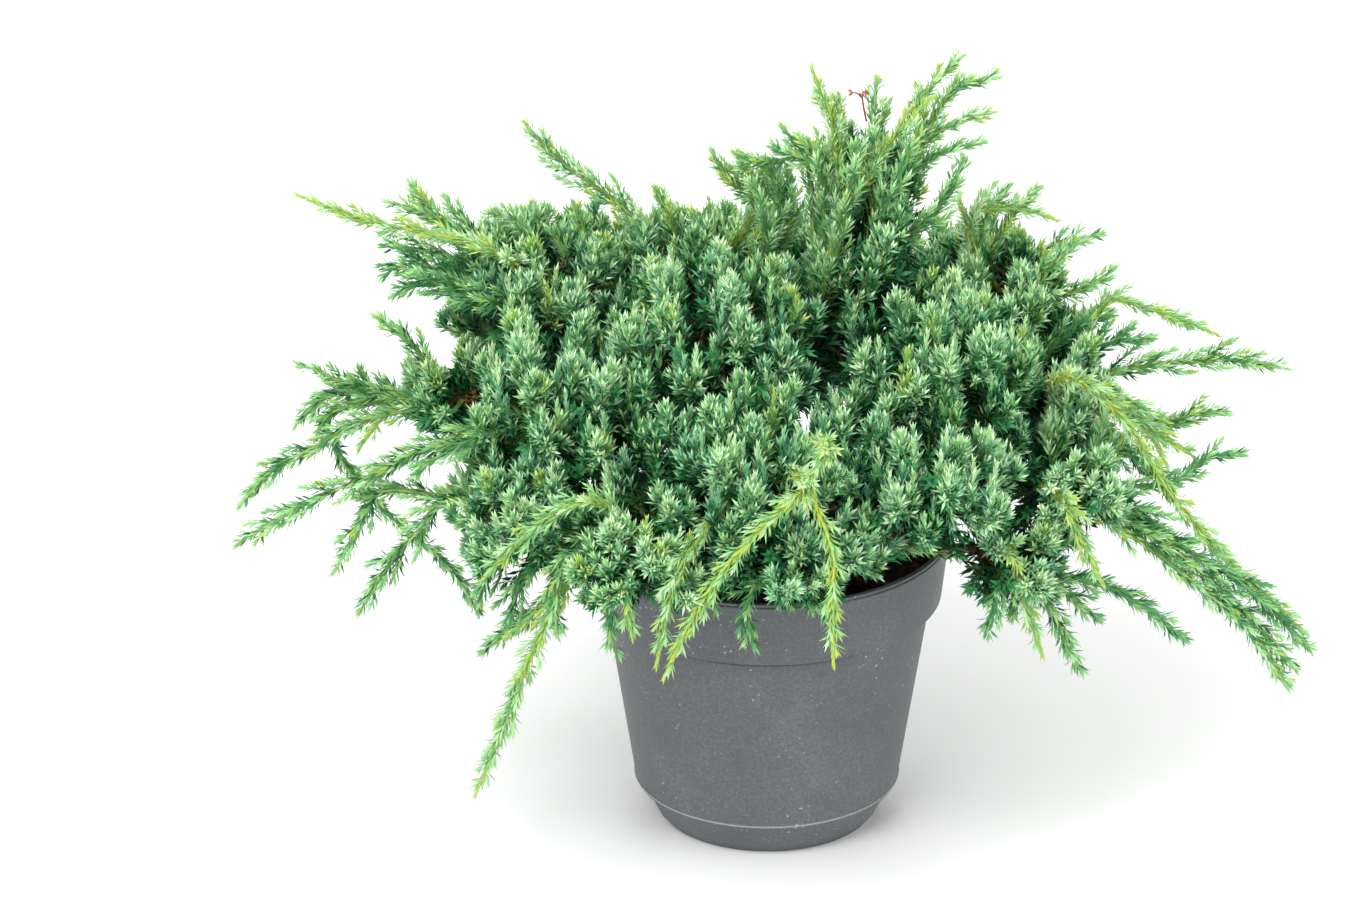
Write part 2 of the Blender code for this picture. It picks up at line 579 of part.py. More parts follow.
def side_curves(plume, count, rng, lift):
    """The curves of the side sprays of a plume, which leave it turn by turn round it and curve upwards."""
    curves = []
    turn = rng.uniform(0.0, math.tau)
    for number in range(count):
        root, ahead = plume.at(SIDE_SHARE + SIDE_STEP * number)
        across = unit(np.cross(ahead, ODD_DIRECTION))
        axis = rotated(across, ahead, turn + number * SIDE_TURN)
        heading = rotated(ahead, axis, SIDE_ANGLE)
        reach = SIDE_LENGTH * rng.uniform(*SIDE_SPREAD)
        tip = root + heading * reach + np.array((0.0, 0.0, max(lift, 0.0) * SIDE_LIFT * reach))
        curves.append((root, root + heading * reach * SIDE_BEND, tip))
    return curves


class Core:
    """The lumpy core of a mass: a ball of triangles drawn in wherever it would leave the mass's space."""

    def __init__(self, mass, room, rng):
        self.mass = mass
        shape = bmesh.new()
        bmesh.ops.create_icosphere(shape, subdivisions=2, radius=1.0)
        self.directions = np.array([corner.co[:] for corner in shape.verts])
        self.faces = [tuple(corner.index for corner in face.verts) for face in shape.faces]
        shape.free()
        limits = CORE_SIZE * rng.uniform(1.0 - CORE_LUMPS, 1.0 + CORE_LUMPS, len(self.directions))
        self.reach = np.full(len(self.directions), CORE_LEAST)
        growing = np.ones(len(self.directions), bool)
        for size in np.linspace(CORE_LEAST, CORE_MOST, CORE_STEPS):
            points = mass.lobe_point(self.directions * size)
            within = np.linalg.norm((points - INNER_CENTRE) / INNER_HALVES, axis=1) < 1.0
            growing &= (within | (size < limits)) & room.free(mass, points)
            self.reach[growing] = size
        self.draw_in(room)

    def points(self):
        """The corners of the core."""
        return self.mass.lobe_point(self.directions * self.reach[:, None])

    def draw_in(self, room):
        """Shortens the longest corner of each face that isn't free, until all are. A face is tested at
        points spread over it in even steps."""
        steps = range(FACE_STEPS + 1)
        shares = [(a, b, FACE_STEPS - a - b) for a in steps for b in steps if a + b <= FACE_STEPS]
        shares = np.array(shares) / FACE_STEPS
        corners = np.array(self.faces)
        free = np.zeros(len(corners), bool)
        while not free.all():
            tested = shares @ self.points()[corners]
            free = room.free(self.mass, tested.reshape(-1, 3)).reshape(tested.shape[:2]).all(1)
            blocked = corners[~free]
            longest = blocked[np.arange(len(blocked)), self.reach[blocked].argmax(1)]
            self.reach[np.unique(longest)] *= CORE_DRAWN_IN

    def depth(self, point):
        """How far out a point is, as a share of the core's reach in that direction."""
        place = self.mass.within(point)
        distance = np.linalg.norm(place)
        near = np.argsort(-(self.directions @ place))[:3]
        return distance / self.reach[near].min()

    def root_share(self, path):
        """The last share of a path's length at which it lies well inside the core."""
        shares = np.linspace(0.0, 0.9, 46)
        return max((share for share in shares if self.depth(path.at(share)[0]) < SUNK), default=0.0)


# Room for the foliage


class Room:
    """What each mass has to keep clear of: the pot, the limbs, and the space of the other masses. A mass's
    space is all that lies nearer to its own stem, plumes and leaders than to those of any other."""

    def __init__(self, masses):
        self.sites = {mass.name: [] for mass in masses}
        self.limbs = [arc(*mass.bough, LIMB_POINTS) for mass in masses if mass.bough]
        rise = np.linspace(TRUNK_FOOT, TRUNK_FOOT + TRUNK_RISE[-1], LIMB_POINTS // 2)
        self.trunk = np.array([trunk_axis(height) for height in rise])

    def claim(self, mass, path):
        """Adds the points of a path to the sites of a mass."""
        count = max(int(path.length / SITE_STEP), 3)
        self.sites[mass.name].append(path.points(np.linspace(0.0, 1.0, count)))

    def to_sites(self, points, names):
        """The distance from each point to the nearest site of the named masses."""
        sites = np.vstack([line for name in names for line in self.sites[name]])
        return np.sqrt(((points[:, None, :] - sites[None, :, :]) ** 2).sum(2)).min(1)

    def others(self, mass):
        """The names of the other masses that have sites."""
        return [name for name, lines in self.sites.items() if name != mass.name and lines]

    def off_pot(self, points):
        """Whether each point is clear of the pot, the soil and the floor."""
        radius = np.hypot(points[:, 0], points[:, 1])
        height = points[:, 2]
        outside = (radius > wall_radius(height) + LIP + POT_CLEARANCE) & (height > FLOOR_CLEARANCE)
        return outside | (height > POT_HEIGHT + POT_CLEARANCE)

    def off_limbs(self, points):
        """Whether each point is clear of the trunk and the boughs."""
        clear = np.ones(len(points), bool)
        for limb in [*self.limbs, self.trunk]:
            start, run = limb[:-1], np.diff(limb, axis=0)
            share = ((points[:, None, :] - start) * run).sum(2) / (run * run).sum(1)
            foot = start + np.clip(share, 0.0, 1.0)[..., None] * run
            distance = np.sqrt(((points[:, None, :] - foot) ** 2).sum(2)).min(1)
            thickness = TRUNK_RADIUS[2] if limb is self.trunk else BOUGH_ROOT
            clear &= distance > thickness + CLEARANCE
        return clear

    def free(self, mass, points):
        """Whether each point lies in a mass's space and clear of the limbs and the pot."""
        own, other = self.to_sites(points, [mass.name]), self.to_sites(points, self.others(mass))
        return (own + CLEARANCE < other) & self.off_pot(points) & self.off_limbs(points)

    def holds(self, mass, points, faces):
        """Whether a shape fits its mass's space, tested at its corners and at the middles of its edges."""
        corners = points[np.array([face[:3] for face in faces])]
        middles = (corners + np.roll(corners, 1, axis=1)) / 2
        return bool(self.free(mass, np.vstack((points, middles.reshape(-1, 3)))).all())

    def lets_in(self, mass, path):
        """Whether the axis of a plume or leader keeps clear of the pot, the limbs and other masses' axes."""
        points = path.points(np.linspace(0.0, 1.0, AXIS_POINTS)[ROOT_POINTS:])
        apart = self.to_sites(points, self.others(mass)) > AXES_APART
        return bool((apart & self.off_pot(points) & self.off_limbs(points)).all())


# Joining a mass


def fused(name, shapes, spec):
    """One closed object from overlapping shapes, by a Boolean union on a collection, then tidied."""
    helpers = bpy.data.collections.new(f"{name}_pieces")
    bpy.context.scene.collection.children.link(helpers)
    pieces = [mesh_object(f"{name}_piece_{number}", *shape, spec) for number, shape in enumerate(shapes)]
    base = pieces[0]
    for piece in pieces[1:]:
        bpy.context.scene.collection.objects.unlink(piece)
        helpers.objects.link(piece)
    union = base.modifiers.new("union", "BOOLEAN")
    union.operation = "UNION"
    union.operand_type = "COLLECTION"
    union.collection = helpers
    graph = bpy.context.evaluated_depsgraph_get()
    mesh = bpy.data.meshes.new_from_object(base.evaluated_get(graph), depsgraph=graph)
    for piece in pieces:
        bpy.data.objects.remove(piece, do_unlink=True)
    bpy.data.collections.remove(helpers)
    keep_outer_shell(mesh)
    mesh.name = name
    mesh.materials.clear()
    mesh.materials.append(material(spec))
    obj = bpy.data.objects.new(name, mesh)
    bpy.context.scene.collection.objects.link(obj)
    return obj


def keep_outer_shell(mesh):
    """Keeps the largest shell of a mesh: a sealed hollow is filled so, and a loose scrap dropped."""
    shape = bmesh.new()
    shape.from_mesh(mesh)
    bmesh.ops.triangulate(shape, faces=shape.faces)
    unseen = set(shape.faces)
    shells = []
    while unseen:
        rim = [unseen.pop()]
        shell = set(rim)
        while rim:
            edges = [edge for edge in rim.pop().edges if len(edge.link_faces) == 2]
            onward = {other for edge in edges for other in edge.link_faces} & unseen
            unseen -= onward
            shell |= onward
            rim.extend(onward)
        shells.append(shell)
    shells.sort(key=shell_volume)
    scraps = [face for shell in shells[:-1] for face in shell]
    bmesh.ops.delete(shape, geom=scraps, context="FACES")
    shape.to_mesh(mesh)
    shape.free()


def shell_volume(shell):
    """Volume inside a set of triangles."""
    corners = [[corner.co for corner in face.verts] for face in shell]
    return sum(a.dot(b.cross(c)) for a, b, c in corners) / 6.0


def grown_axes(masses, room, rng):
    """The leaders of each mass, each a path and the reach of its needles, and the paths of its plumes. They
    share out the room as they are laid, and one that finds no room is left out."""
    for mass in masses:
        room.claim(mass, Path(mass.stem))
    leaders = {mass.name: [row for row in mass.leaders() if laid(mass, row[0], room)] for mass in masses}
    plumes = {}
    for mass in masses:
        plumes[mass.name] = [path for path in mass.plume_paths(rng) if laid(mass, path, room)]
    return leaders, plumes


def laid(mass, path, room):
    """Whether a path finds room in its mass's space, which it then claims."""
    fits = room.lets_in(mass, path)
    if fits:
        room.claim(mass, path)
    return fits


def mass_shapes(mass, room, leaders, plumes, rng):
    """The core, stem, leaders, plumes and side sprays of a mass, each closed, their roots well sunk in."""
    core = Core(mass, room, rng)
    inside = arc(*mass.stem, STEM_RINGS)[:-1]
    stem = rings_along(inside, np.linspace(STEM_ROOT, STEM_TIP, len(inside)), STEM_SIDES)
    shapes = [(core.points(), core.faces), skin(stem)]
    for path, needles in leaders:
        first = core.root_share(path)
        whorls = int(np.clip(round((1.0 - first) * path.length / WHORL_STEP), *LEADER_WHORLS))
        shapes.extend(fitted(room, mass, path, first, Form(whorls, needles, LEADER_AXIS)))
    for number, path in enumerate(plumes):
        made = fitted(room, mass, path, core.root_share(path), PLUME_FORM)
        sides = number % 4 // 3  # every fourth plume carries one
        shapes.extend(made)
        for side in side_curves(path, sides, rng, mass.lift) if made else ():
            shapes.extend(fitted(room, mass, Path(side), 0.0, SIDE_FORM, shorten=True))
    return shapes


def shortened(path, size):
    """The path of a side spray with its middle and end drawn in towards its root."""
    ((root, middle, end),) = path.curves
    return Path((root, root + (middle - root) * size, root + (end - root) * size))


def fitted(room, mass, path, first, form, shorten=False):
    """The spray at the largest size that fits its mass's space, in a list, or no shape. A side spray gets
    shorter as it gets smaller."""
    for size in SIZES:
        axis = shortened(path, size) if shorten else path
        points, faces = spray(axis, first, form.whorls, form.needles * size, form.core)
        if room.holds(mass, points, faces):
            return [(points, faces)]
    return []


def main():
    """Builds the whole potted plant."""
    clear_scene()
    add_pot()
    add_soil()
    add_trunk()
    masses = [Mass(name, *row) for name, row in MASSES.items()]
    join_to_trunk(masses)
    for mass in masses:
        if mass.bough:
            add_bough(mass)
    rng = np.random.default_rng(SEED)
    room = Room(masses)
    leaders, plumes = grown_axes(masses, room, rng)
    for mass in masses:
        shapes = mass_shapes(mass, room, leaders[mass.name], plumes[mass.name], rng)
        fused(f"mass_{mass.name}", shapes, BLUE_NEEDLES)


main()
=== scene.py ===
import logging
import math
from dataclasses import dataclass, field, replace
from enum import Enum

import bpy
import numpy as np
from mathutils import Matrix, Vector


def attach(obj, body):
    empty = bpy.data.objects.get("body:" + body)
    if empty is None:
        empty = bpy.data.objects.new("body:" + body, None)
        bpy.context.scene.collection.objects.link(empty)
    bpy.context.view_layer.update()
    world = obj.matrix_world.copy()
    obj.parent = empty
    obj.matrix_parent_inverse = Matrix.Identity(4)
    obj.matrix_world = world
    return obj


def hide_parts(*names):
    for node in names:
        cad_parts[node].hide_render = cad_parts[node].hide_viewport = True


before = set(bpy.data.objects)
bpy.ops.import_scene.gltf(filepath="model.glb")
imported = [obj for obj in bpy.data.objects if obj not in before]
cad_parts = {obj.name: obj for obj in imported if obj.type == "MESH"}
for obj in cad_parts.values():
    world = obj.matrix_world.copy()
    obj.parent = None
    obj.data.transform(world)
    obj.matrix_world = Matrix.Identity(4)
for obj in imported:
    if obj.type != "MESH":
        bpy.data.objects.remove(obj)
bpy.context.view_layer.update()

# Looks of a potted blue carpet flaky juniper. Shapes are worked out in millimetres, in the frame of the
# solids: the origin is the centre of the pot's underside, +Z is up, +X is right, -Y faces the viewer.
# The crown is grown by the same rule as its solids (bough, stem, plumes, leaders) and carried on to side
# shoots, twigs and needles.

Array = np.ndarray
log = logging.getLogger("juniper")

MM = 0.001
UP = np.array((0.0, 0.0, 1.0))
GOLDEN = math.radians(137.50776)
SEED = 29

# Each mass: tier of its bough (0 is the trunk's own tip), centre of its lobe, half sizes of the lobe
# outwards, across and upwards, number of plumes in its solid, and how far their tips turn up.
MASSES = {
    "top_leader": (0, (35, 8, 193), (21, 27, 51), 9, 0.50),
    "top_left": (4, (-24, 26, 167), (38, 35, 34), 8, 0.50),
    "centre_front": (4, (-16, -18, 172), (38, 36, 35), 9, 0.60),
    "left_upper": (3, (-74, 26, 171), (34, 36, 25), 9, 0.35),
    "left_wing": (2, (-97, -4, 146), (22, 25, 11), 5, 0.15),
    "left_mid": (3, (-62, -28, 150), (38, 37, 35), 10, 0.56),
    "left_low": (1, (-72, -42, 122), (30, 32, 25), 7, -0.05),
    "front_left_low": (1, (-40, -68, 123), (32, 32, 22), 8, -0.05),
    "front_centre": (2, (-4, -58, 146), (39, 39, 33), 10, 0.60),
    "front_low": (1, (8, -70, 122), (30, 28, 16), 6, -0.10),
    "right_front_low": (2, (46, -55, 141), (35, 33, 26), 8, 0.35),
    "right_mid": (4, (52, -24, 162), (37, 35, 35), 9, 0.56),
    "right_upper": (4, (73, 24, 169), (28, 33, 23), 8, 0.50),
    "right_wing": (3, (92, 4, 145), (20, 33, 19), 8, 0.10),
    "right_low": (2, (94, -34, 130), (25, 28, 15), 6, -0.05),
    "right_under": (1, (76, -52, 112), (20, 25, 14), 6, -0.20),
    "back_left": (2, (-62, 66, 144), (42, 40, 36), 8, 0.35),
    "back_centre": (3, (4, 62, 150), (42, 40, 33), 7, 0.40),
    "back_right": (2, (60, 64, 142), (38, 37, 34), 8, 0.35),
    "back_low_left": (1, (-73, 56, 110), (34, 33, 25), 6, -0.10),
    "back_low": (1, (-4, 94, 108), (38, 36, 28), 6, -0.15),
    "back_low_right": (1, (74, 58, 110), (33, 32, 25), 6, -0.10),
}


# Small helpers for vectors, curves and closed surfaces


def unit(vectors: Array) -> Array:
    """The vectors at length one, along the last axis."""
    return vectors / np.maximum(np.linalg.norm(vectors, axis=-1, keepdims=True), 1e-12)


def waves(points: Array, size: float, seed: int, count: int = 9) -> Array:
    """Smooth seeded relief between about -1 and 1: the mean of sine waves that run in many directions.

    Args:
        points: places in millimetres, with three numbers along the last axis.
        size: length of the waves in millimetres.
        seed: seed of their directions and phases.
        count: number of waves.

    Returns:
        One value for each place.
    """
    rng = np.random.default_rng(seed)
    runs = unit(rng.normal(size=(count, 3))) * rng.uniform(0.7, 1.6, (count, 1)) * math.tau / size
    phases = rng.uniform(0.0, math.tau, count)
    return np.sin(points @ runs.T + phases).sum(-1) / math.sqrt(count)


def curve_points(curves: Array, t: Array) -> Array:
    """Points on quadratic curves: (1-t)^2 root + 2t(1-t) middle + t^2 tip.

    Args:
        curves: root, middle and tip of each curve, shaped (n, 3, 3).
        t: shares of the way along, shaped (m,) for all curves or (n, m) for each.

    Returns:
        Points shaped (n, m, 3).
    """
    t = np.broadcast_to(t, (len(curves), np.shape(t)[-1]))[..., None]
    root, middle, tip = (curves[:, None, place] for place in range(3))
    return (1 - t) ** 2 * root + 2 * t * (1 - t) * middle + t**2 * tip


def curve_headings(curves: Array, t: Array) -> Array:
    """Unit headings of quadratic curves, from the derivative 2(1-t)(middle-root) + 2t(tip-middle)."""
    t = np.broadcast_to(t, (len(curves), np.shape(t)[-1]))[..., None]
    root, middle, tip = (curves[:, None, place] for place in range(3))
    return unit((1 - t) * (middle - root) + t * (tip - middle))


def curve_lengths(curves: Array) -> Array:
    """Lengths of quadratic curves, measured along eight straight steps."""
    steps = np.diff(curve_points(curves, np.linspace(0.0, 1.0, 9)), axis=1)
    return np.linalg.norm(steps, axis=2).sum(1)


def plane_normals(curves: Array) -> Array:
    """Unit normal of the plane that each quadratic curve lies in. A straight one takes any plane."""
    first, second = curves[:, 1] - curves[:, 0], curves[:, 2] - curves[:, 1]
    normals = np.cross(first, second)
    spare = np.cross(first + second, np.where(np.abs(unit(first + second)[:, 2:]) > 0.8, (1.0, 0, 0), UP))
    straight = np.linalg.norm(normals, axis=1) < 1e-3 * np.linalg.norm(spare, axis=1) ** 2
    return unit(np.where(straight[:, None], spare, normals))


def skin(grid: Array, closing: bool = True) -> tuple[Array, Array]:
    """Closed surfaces over runs of rings, each with a pole at its first and last ring.

    Args:
        grid: points shaped (n, rings, sides, 3), turning left about the way the rings run.
        closing: puts each pole at the middle of its ring.

    Returns:
        All points, and triangles that face outwards.
    """
    count, rings, sides = grid.shape[:3]
    poles = grid[:, (0, -1)].mean(2)
    points = np.concatenate((grid.reshape(count, -1, 3), poles), axis=1)
    ring, side = np.meshgrid(np.arange(rings - 1), np.arange(sides), indexing="ij")
    onward = (side + 1) % sides
    a, b = ring * sides + side, ring * sides + onward
    c, d = b + sides, a + sides
    walls = np.stack((np.stack((a, b, c), -1), np.stack((a, c, d), -1)), 2).reshape(-1, 3)
    if not closing:
        ends = np.empty((0, 3), int)
    else:
        side, onward = np.arange(sides), (np.arange(sides) + 1) % sides
        first, last = np.full(sides, rings * sides), (rings - 1) * sides
        low = np.stack((first, onward, side), 1)
        high = np.stack((first + 1, last + side, last + onward), 1)
        ends = np.concatenate((low, high))
    faces = np.concatenate((walls, ends))
    shift = np.arange(count)[:, None, None] * points.shape[1]
    return points.reshape(-1, 3), (faces + shift).reshape(-1, 3)


def tubes(curves: Array, t: Array, radii: Array, sides: int) -> Array:
    """Rings round quadratic curves: centre + radius (cos a across + sin a up), with no twist, because a
    quadratic curve stays in one plane and the plane's normal serves as across all the way.

    Args:
        curves: shaped (n, 3, 3).
        t: shares of the way along at which the rings stand, shaped (m,).
        radii: shaped (n, m) or (n, m, sides).
        sides: number of points in a ring.

    Returns:
        A grid shaped (n, m, sides, 3).
    """
    centres, headings = curve_points(curves, t), curve_headings(curves, t)
    across = np.broadcast_to(plane_normals(curves)[:, None], headings.shape)
    up = np.cross(headings, across)
    turn = (np.arange(sides) * math.tau / sides)[:, None]
    spokes = np.cos(turn) * across[:, :, None] + np.sin(turn) * up[:, :, None]
    radii = radii if radii.ndim == 3 else radii[..., None]
    return centres[:, :, None] + radii[..., None] * spokes


def rounded(profile: Array, radius: float, steps: int = 5) -> Array:
    """An outline with each inner corner replaced by a small curve that starts and ends radius from it."""
    before, corner, after = profile[:-2], profile[1:-1], profile[2:]
    back, on = before - corner, after - corner
    start = corner + unit(back) * np.minimum(radius, 0.45 * np.linalg.norm(back, axis=1, keepdims=True))
    end = corner + unit(on) * np.minimum(radius, 0.45 * np.linalg.norm(on, axis=1, keepdims=True))
    t = np.linspace(0.0, 1.0, steps)[None, :, None]
    curves = (1 - t) ** 2 * start[:, None] + 2 * t * (1 - t) * corner[:, None] + t**2 * end[:, None]
    return np.concatenate((profile[:1], curves.reshape(-1, 2), profile[-1:]))


def turned(profile: Array, segments: int) -> Array:
    """A grid of rings turned about Z from an outline of (radius, height)."""
    turn = np.arange(segments) * math.tau / segments
    radius, height = profile[:, :1], profile[:, 1:]
    return np.stack((radius * np.cos(turn), radius * np.sin(turn), height + 0 * turn), -1)[None]


def make_piece(name: str, points: Array, faces: Array, materials: list[bpy.types.Material],
               slots: Array | None = None, smooth_angle: float = 0.0) -> bpy.types.Object:
    """An object at the origin with its place in its mesh.

    Args:
        name: the piece's name.
        points: places in millimetres.
        faces: corners of each triangle.
        materials: the piece's materials.
        slots: number of each face's material, where there are several.
        smooth_angle: edges flatter than this, in degrees, are shaded smooth.

    Returns:
        The new object.
    """
    mesh = bpy.data.meshes.new(name)
    mesh.vertices.add(len(points))
    mesh.vertices.foreach_set("co", (points * MM).astype(np.float32).ravel())
    mesh.loops.add(faces.size)
    mesh.loops.foreach_set("vertex_index", faces.astype(np.int32).ravel())
    mesh.polygons.add(len(faces))
    mesh.polygons.foreach_set("loop_start", np.arange(0, faces.size, faces.shape[1], dtype=np.int32))
    for material in materials:
        mesh.materials.append(material)
    if slots is not None:
        mesh.polygons.foreach_set("material_index", slots.astype(np.int32))
    mesh.update(calc_edges=True)
    if smooth_angle:
        mesh.shade_smooth()
        mesh.set_sharp_from_angle(angle=math.radians(smooth_angle))
    else:
        mesh.shade_flat()
    piece = bpy.data.objects.new(name, mesh)
    bpy.context.scene.collection.objects.link(piece)
    return piece


def fasten(piece: bpy.types.Object, nodes: list[str]) -> None:
    """Lets a piece ride on the plant and stand for its nodes, and reports it."""
    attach(piece, "root")
    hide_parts(*nodes)
    log.info("%s: %d faces for %d nodes", piece.name, len(piece.data.polygons), len(nodes))


# Finishes


def linear(colour: str) -> tuple[float, float, float, float]:
    """The linear colour of an sRGB hex value such as #8fa0b1."""
    channels = [int(colour[place:place + 2], 16) / 255.0 for place in (1, 3, 5)]
    return (*[((c + 0.055) / 1.055) ** 2.4 if c > 0.04045 else c / 12.92 for c in channels], 1.0)


def per_mm(size: float) -> float:
    """The scale that gives a pattern cells of a size in millimetres, as coordinates are in metres."""
    return 1.0 / (size * MM)


def add_node(tree: bpy.types.NodeTree, kind: str, inputs: dict | None = None,
             stops: list[tuple[float, str]] | None = None, **settings: object) -> bpy.types.Node:
    """Adds a node with its settings and links.

    Args:
        tree: the material's nodes.
        kind: the node's type.
        inputs: a socket to link from, or a value, for each input by name or number.
        stops: places and sRGB colours along a colour ramp.
        settings: the node's own settings.

    Returns:
        The new node.
    """
    node = tree.nodes.new(kind)
    for name, value in settings.items():
        setattr(node, name, value)
    for name, value in (inputs or {}).items():
        if isinstance(value, bpy.types.NodeSocket):
            tree.links.new(value, node.inputs[name])
        else:
            node.inputs[name].default_value = value
    for number, (place, colour) in enumerate(stops or ()):
        elements = node.color_ramp.elements
        element = elements[number] if number < 2 else elements.new(place)
        element.position = place
        element.color = linear(colour)
    return node


def new_material(name: str) -> tuple[bpy.types.Material, bpy.types.NodeTree, bpy.types.Node]:
    """An empty material with a Principled shader, its nodes and that shader."""
    material = bpy.data.materials.new(name)
    material.use_nodes = True
    tree = material.node_tree
    return material, tree, tree.nodes["Principled BSDF"]


@dataclass(frozen=True)
class PlainFinish:
    """A living surface of one colour: the waxy skin of a needle or the green skin of a young twig. The
    variety comes from many such colours, dealt out by shoot."""

    name: str
    colour: str
    roughness: float = 0.44
    specular: float = 0.3

    def material(self) -> bpy.types.Material:
        """The material, made once."""
        made = bpy.data.materials.get(self.name)
        if made is None:
            made, _, shader = new_material(self.name)
            shader.inputs["Base Color"].default_value = linear(self.colour)
            shader.inputs["Roughness"].default_value = self.roughness
            shader.inputs["Specular IOR Level"].default_value = self.specular
        return made


@dataclass(frozen=True)
class MouldedPlastic:
    """Recycled polypropylene, injection moulded: a matte mid grey with a faint cloudiness, pale specks and splashes,
    fine scuffs, and a paler line along the moulding ridge."""

    name: str = "moulded_grey_polypropylene"
    cloud: float = 34.0  # size of the faint clouds, in millimetres
    mottle: float = 0.9  # size of the fine mottling
    speck: float = 2.6  # spacing of the pale specks
    grain: float = 0.55  # drawn coarser than the real texture so that it shows
    ridge: float = 12.9  # height of the paler ridge line

    def material(self) -> bpy.types.Material:
        """The material: clouds, specks and the paler ridge line over a grey, with a fine grain as bump."""
        made, tree, shader = new_material(self.name)
        place = add_node(tree, "ShaderNodeTexCoord").outputs["Object"]
        clouds = add_node(tree, "ShaderNodeTexNoise", {
            "Vector": place, "Scale": per_mm(self.cloud), "Detail": 6.0, "Roughness": 0.62})
        mottle = add_node(tree, "ShaderNodeTexNoise", {
            "Vector": place, "Scale": per_mm(self.mottle), "Detail": 2.0, "Roughness": 0.7})
        mixed = add_node(tree, "ShaderNodeMix", {
            0: 0.55, 2: clouds.outputs["Fac"], 3: mottle.outputs["Fac"]}, data_type="FLOAT")
        grey = add_node(tree, "ShaderNodeValToRGB", {"Fac": mixed.outputs[0]}, stops=[
            (0.34, "#4b4f52"), (0.50, "#585b5e"), (0.66, "#6a6d6f")])
        cells = add_node(tree, "ShaderNodeTexVoronoi", {
            "Vector": place, "Scale": per_mm(self.speck), "Randomness": 1.0})
        fading = add_node(tree, "ShaderNodeTexNoise", {
            "Vector": place, "Scale": per_mm(16.0), "Detail": 2.0})
        width = add_node(tree, "ShaderNodeMapRange", {
            "Value": fading.outputs["Fac"], "From Min": 0.38, "From Max": 0.70,
            "To Min": 0.0, "To Max": 0.19})
        speck = add_node(tree, "ShaderNodeMath", {0: cells.outputs["Distance"], 1: width.outputs["Result"]},
                         operation="LESS_THAN")
        specked = add_node(tree, "ShaderNodeMix", {
            0: speck.outputs["Value"], 6: grey.outputs["Color"], 7: linear("#94989a")}, data_type="RGBA")
        height = add_node(tree, "ShaderNodeSeparateXYZ", {"Vector": place})
        off_ridge = add_node(tree, "ShaderNodeMath", {0: height.outputs["Z"], 1: self.ridge * MM},
                             operation="SUBTRACT")
        distance = add_node(tree, "ShaderNodeMath", {0: off_ridge.outputs["Value"]}, operation="ABSOLUTE")
        ridge_paling = add_node(tree, "ShaderNodeMapRange", {
            "Value": distance.outputs["Value"], "From Min": 0.1 * MM, "From Max": 0.42 * MM,
            "To Min": 0.75, "To Max": 0.0})
        lined = add_node(tree, "ShaderNodeMix", {
            0: ridge_paling.outputs["Result"], 6: specked.outputs[2], 7: linear("#a9acad")}, data_type="RGBA")
        tree.links.new(lined.outputs[2], shader.inputs["Base Color"])
        gloss = add_node(tree, "ShaderNodeMapRange", {
            "Value": clouds.outputs["Fac"], "To Min": 0.46, "To Max": 0.62})
        tree.links.new(gloss.outputs["Result"], shader.inputs["Roughness"])
        grain = add_node(tree, "ShaderNodeTexNoise", {
            "Vector": place, "Scale": per_mm(self.grain), "Detail": 3.0})
        bump = add_node(tree, "ShaderNodeBump", {
            "Height": grain.outputs["Fac"], "Strength": 0.18, "Distance": 0.25 * MM})
        tree.links.new(bump.outputs["Normal"], shader.inputs["Normal"])
        return made


@dataclass(frozen=True)
class PeatMix:
    """Moist peat and composted bark: nearly black, dull, crumbly at a few millimetres."""

    name: str
    dark: str
    middle: str
    pale: str
    crumb: float = 3.0

    def material(self) -> bpy.types.Material:
        """The material: three browns by a noise of the crumbs' size, which also gives the bump."""
        made, tree, shader = new_material(self.name)
        place = add_node(tree, "ShaderNodeTexCoord").outputs["Object"]
        crumbs = add_node(tree, "ShaderNodeTexNoise", {
            "Vector": place, "Scale": per_mm(self.crumb), "Detail": 5.0, "Roughness": 0.7})
        brown = add_node(tree, "ShaderNodeValToRGB", {"Fac": crumbs.outputs["Fac"]}, stops=[
            (0.35, self.dark), (0.55, self.middle), (0.72, self.pale)])
        tree.links.new(brown.outputs["Color"], shader.inputs["Base Color"])
        shader.inputs["Roughness"].default_value = 0.92
        bump = add_node(tree, "ShaderNodeBump", {
            "Height": crumbs.outputs["Fac"], "Strength": 0.6, "Distance": 1.0 * MM})
        tree.links.new(bump.outputs["Normal"], shader.inputs["Normal"])
        return made


@dataclass(frozen=True)
class FlakyBark:
    """Juniper bark: thin strips that run along the limb, red-brown underneath and grey-brown where they
    have weathered. It reads the limb's own place attribute, so the strips follow every bend."""

    name: str = "flaky_juniper_bark"
    strip: float = 1.6  # width of a strip, in millimetres

    def material(self) -> bpy.types.Material:
        """The material: a noise stretched along the limb gives the strips' colours and their bump."""
        made, tree, shader = new_material(self.name)
        place = add_node(tree, "ShaderNodeAttribute", attribute_name="limb_place").outputs["Vector"]
        strips = add_node(tree, "ShaderNodeTexNoise", {
            "Vector": place, "Scale": per_mm(self.strip), "Detail": 4.0, "Roughness": 0.6})
        bark = add_node(tree, "ShaderNodeValToRGB", {"Fac": strips.outputs["Fac"]}, stops=[
            (0.30, "#3b2416"), (0.48, "#7a4a2c"), (0.62, "#96694a"), (0.78, "#a58a72")])
        tree.links.new(bark.outputs["Color"], shader.inputs["Base Color"])
        shader.inputs["Roughness"].default_value = 0.82
        bump = add_node(tree, "ShaderNodeBump", {
            "Height": strips.outputs["Fac"], "Strength": 0.7, "Distance": 0.5 * MM})
        tree.links.new(bump.outputs["Normal"], shader.inputs["Normal"])
        return made


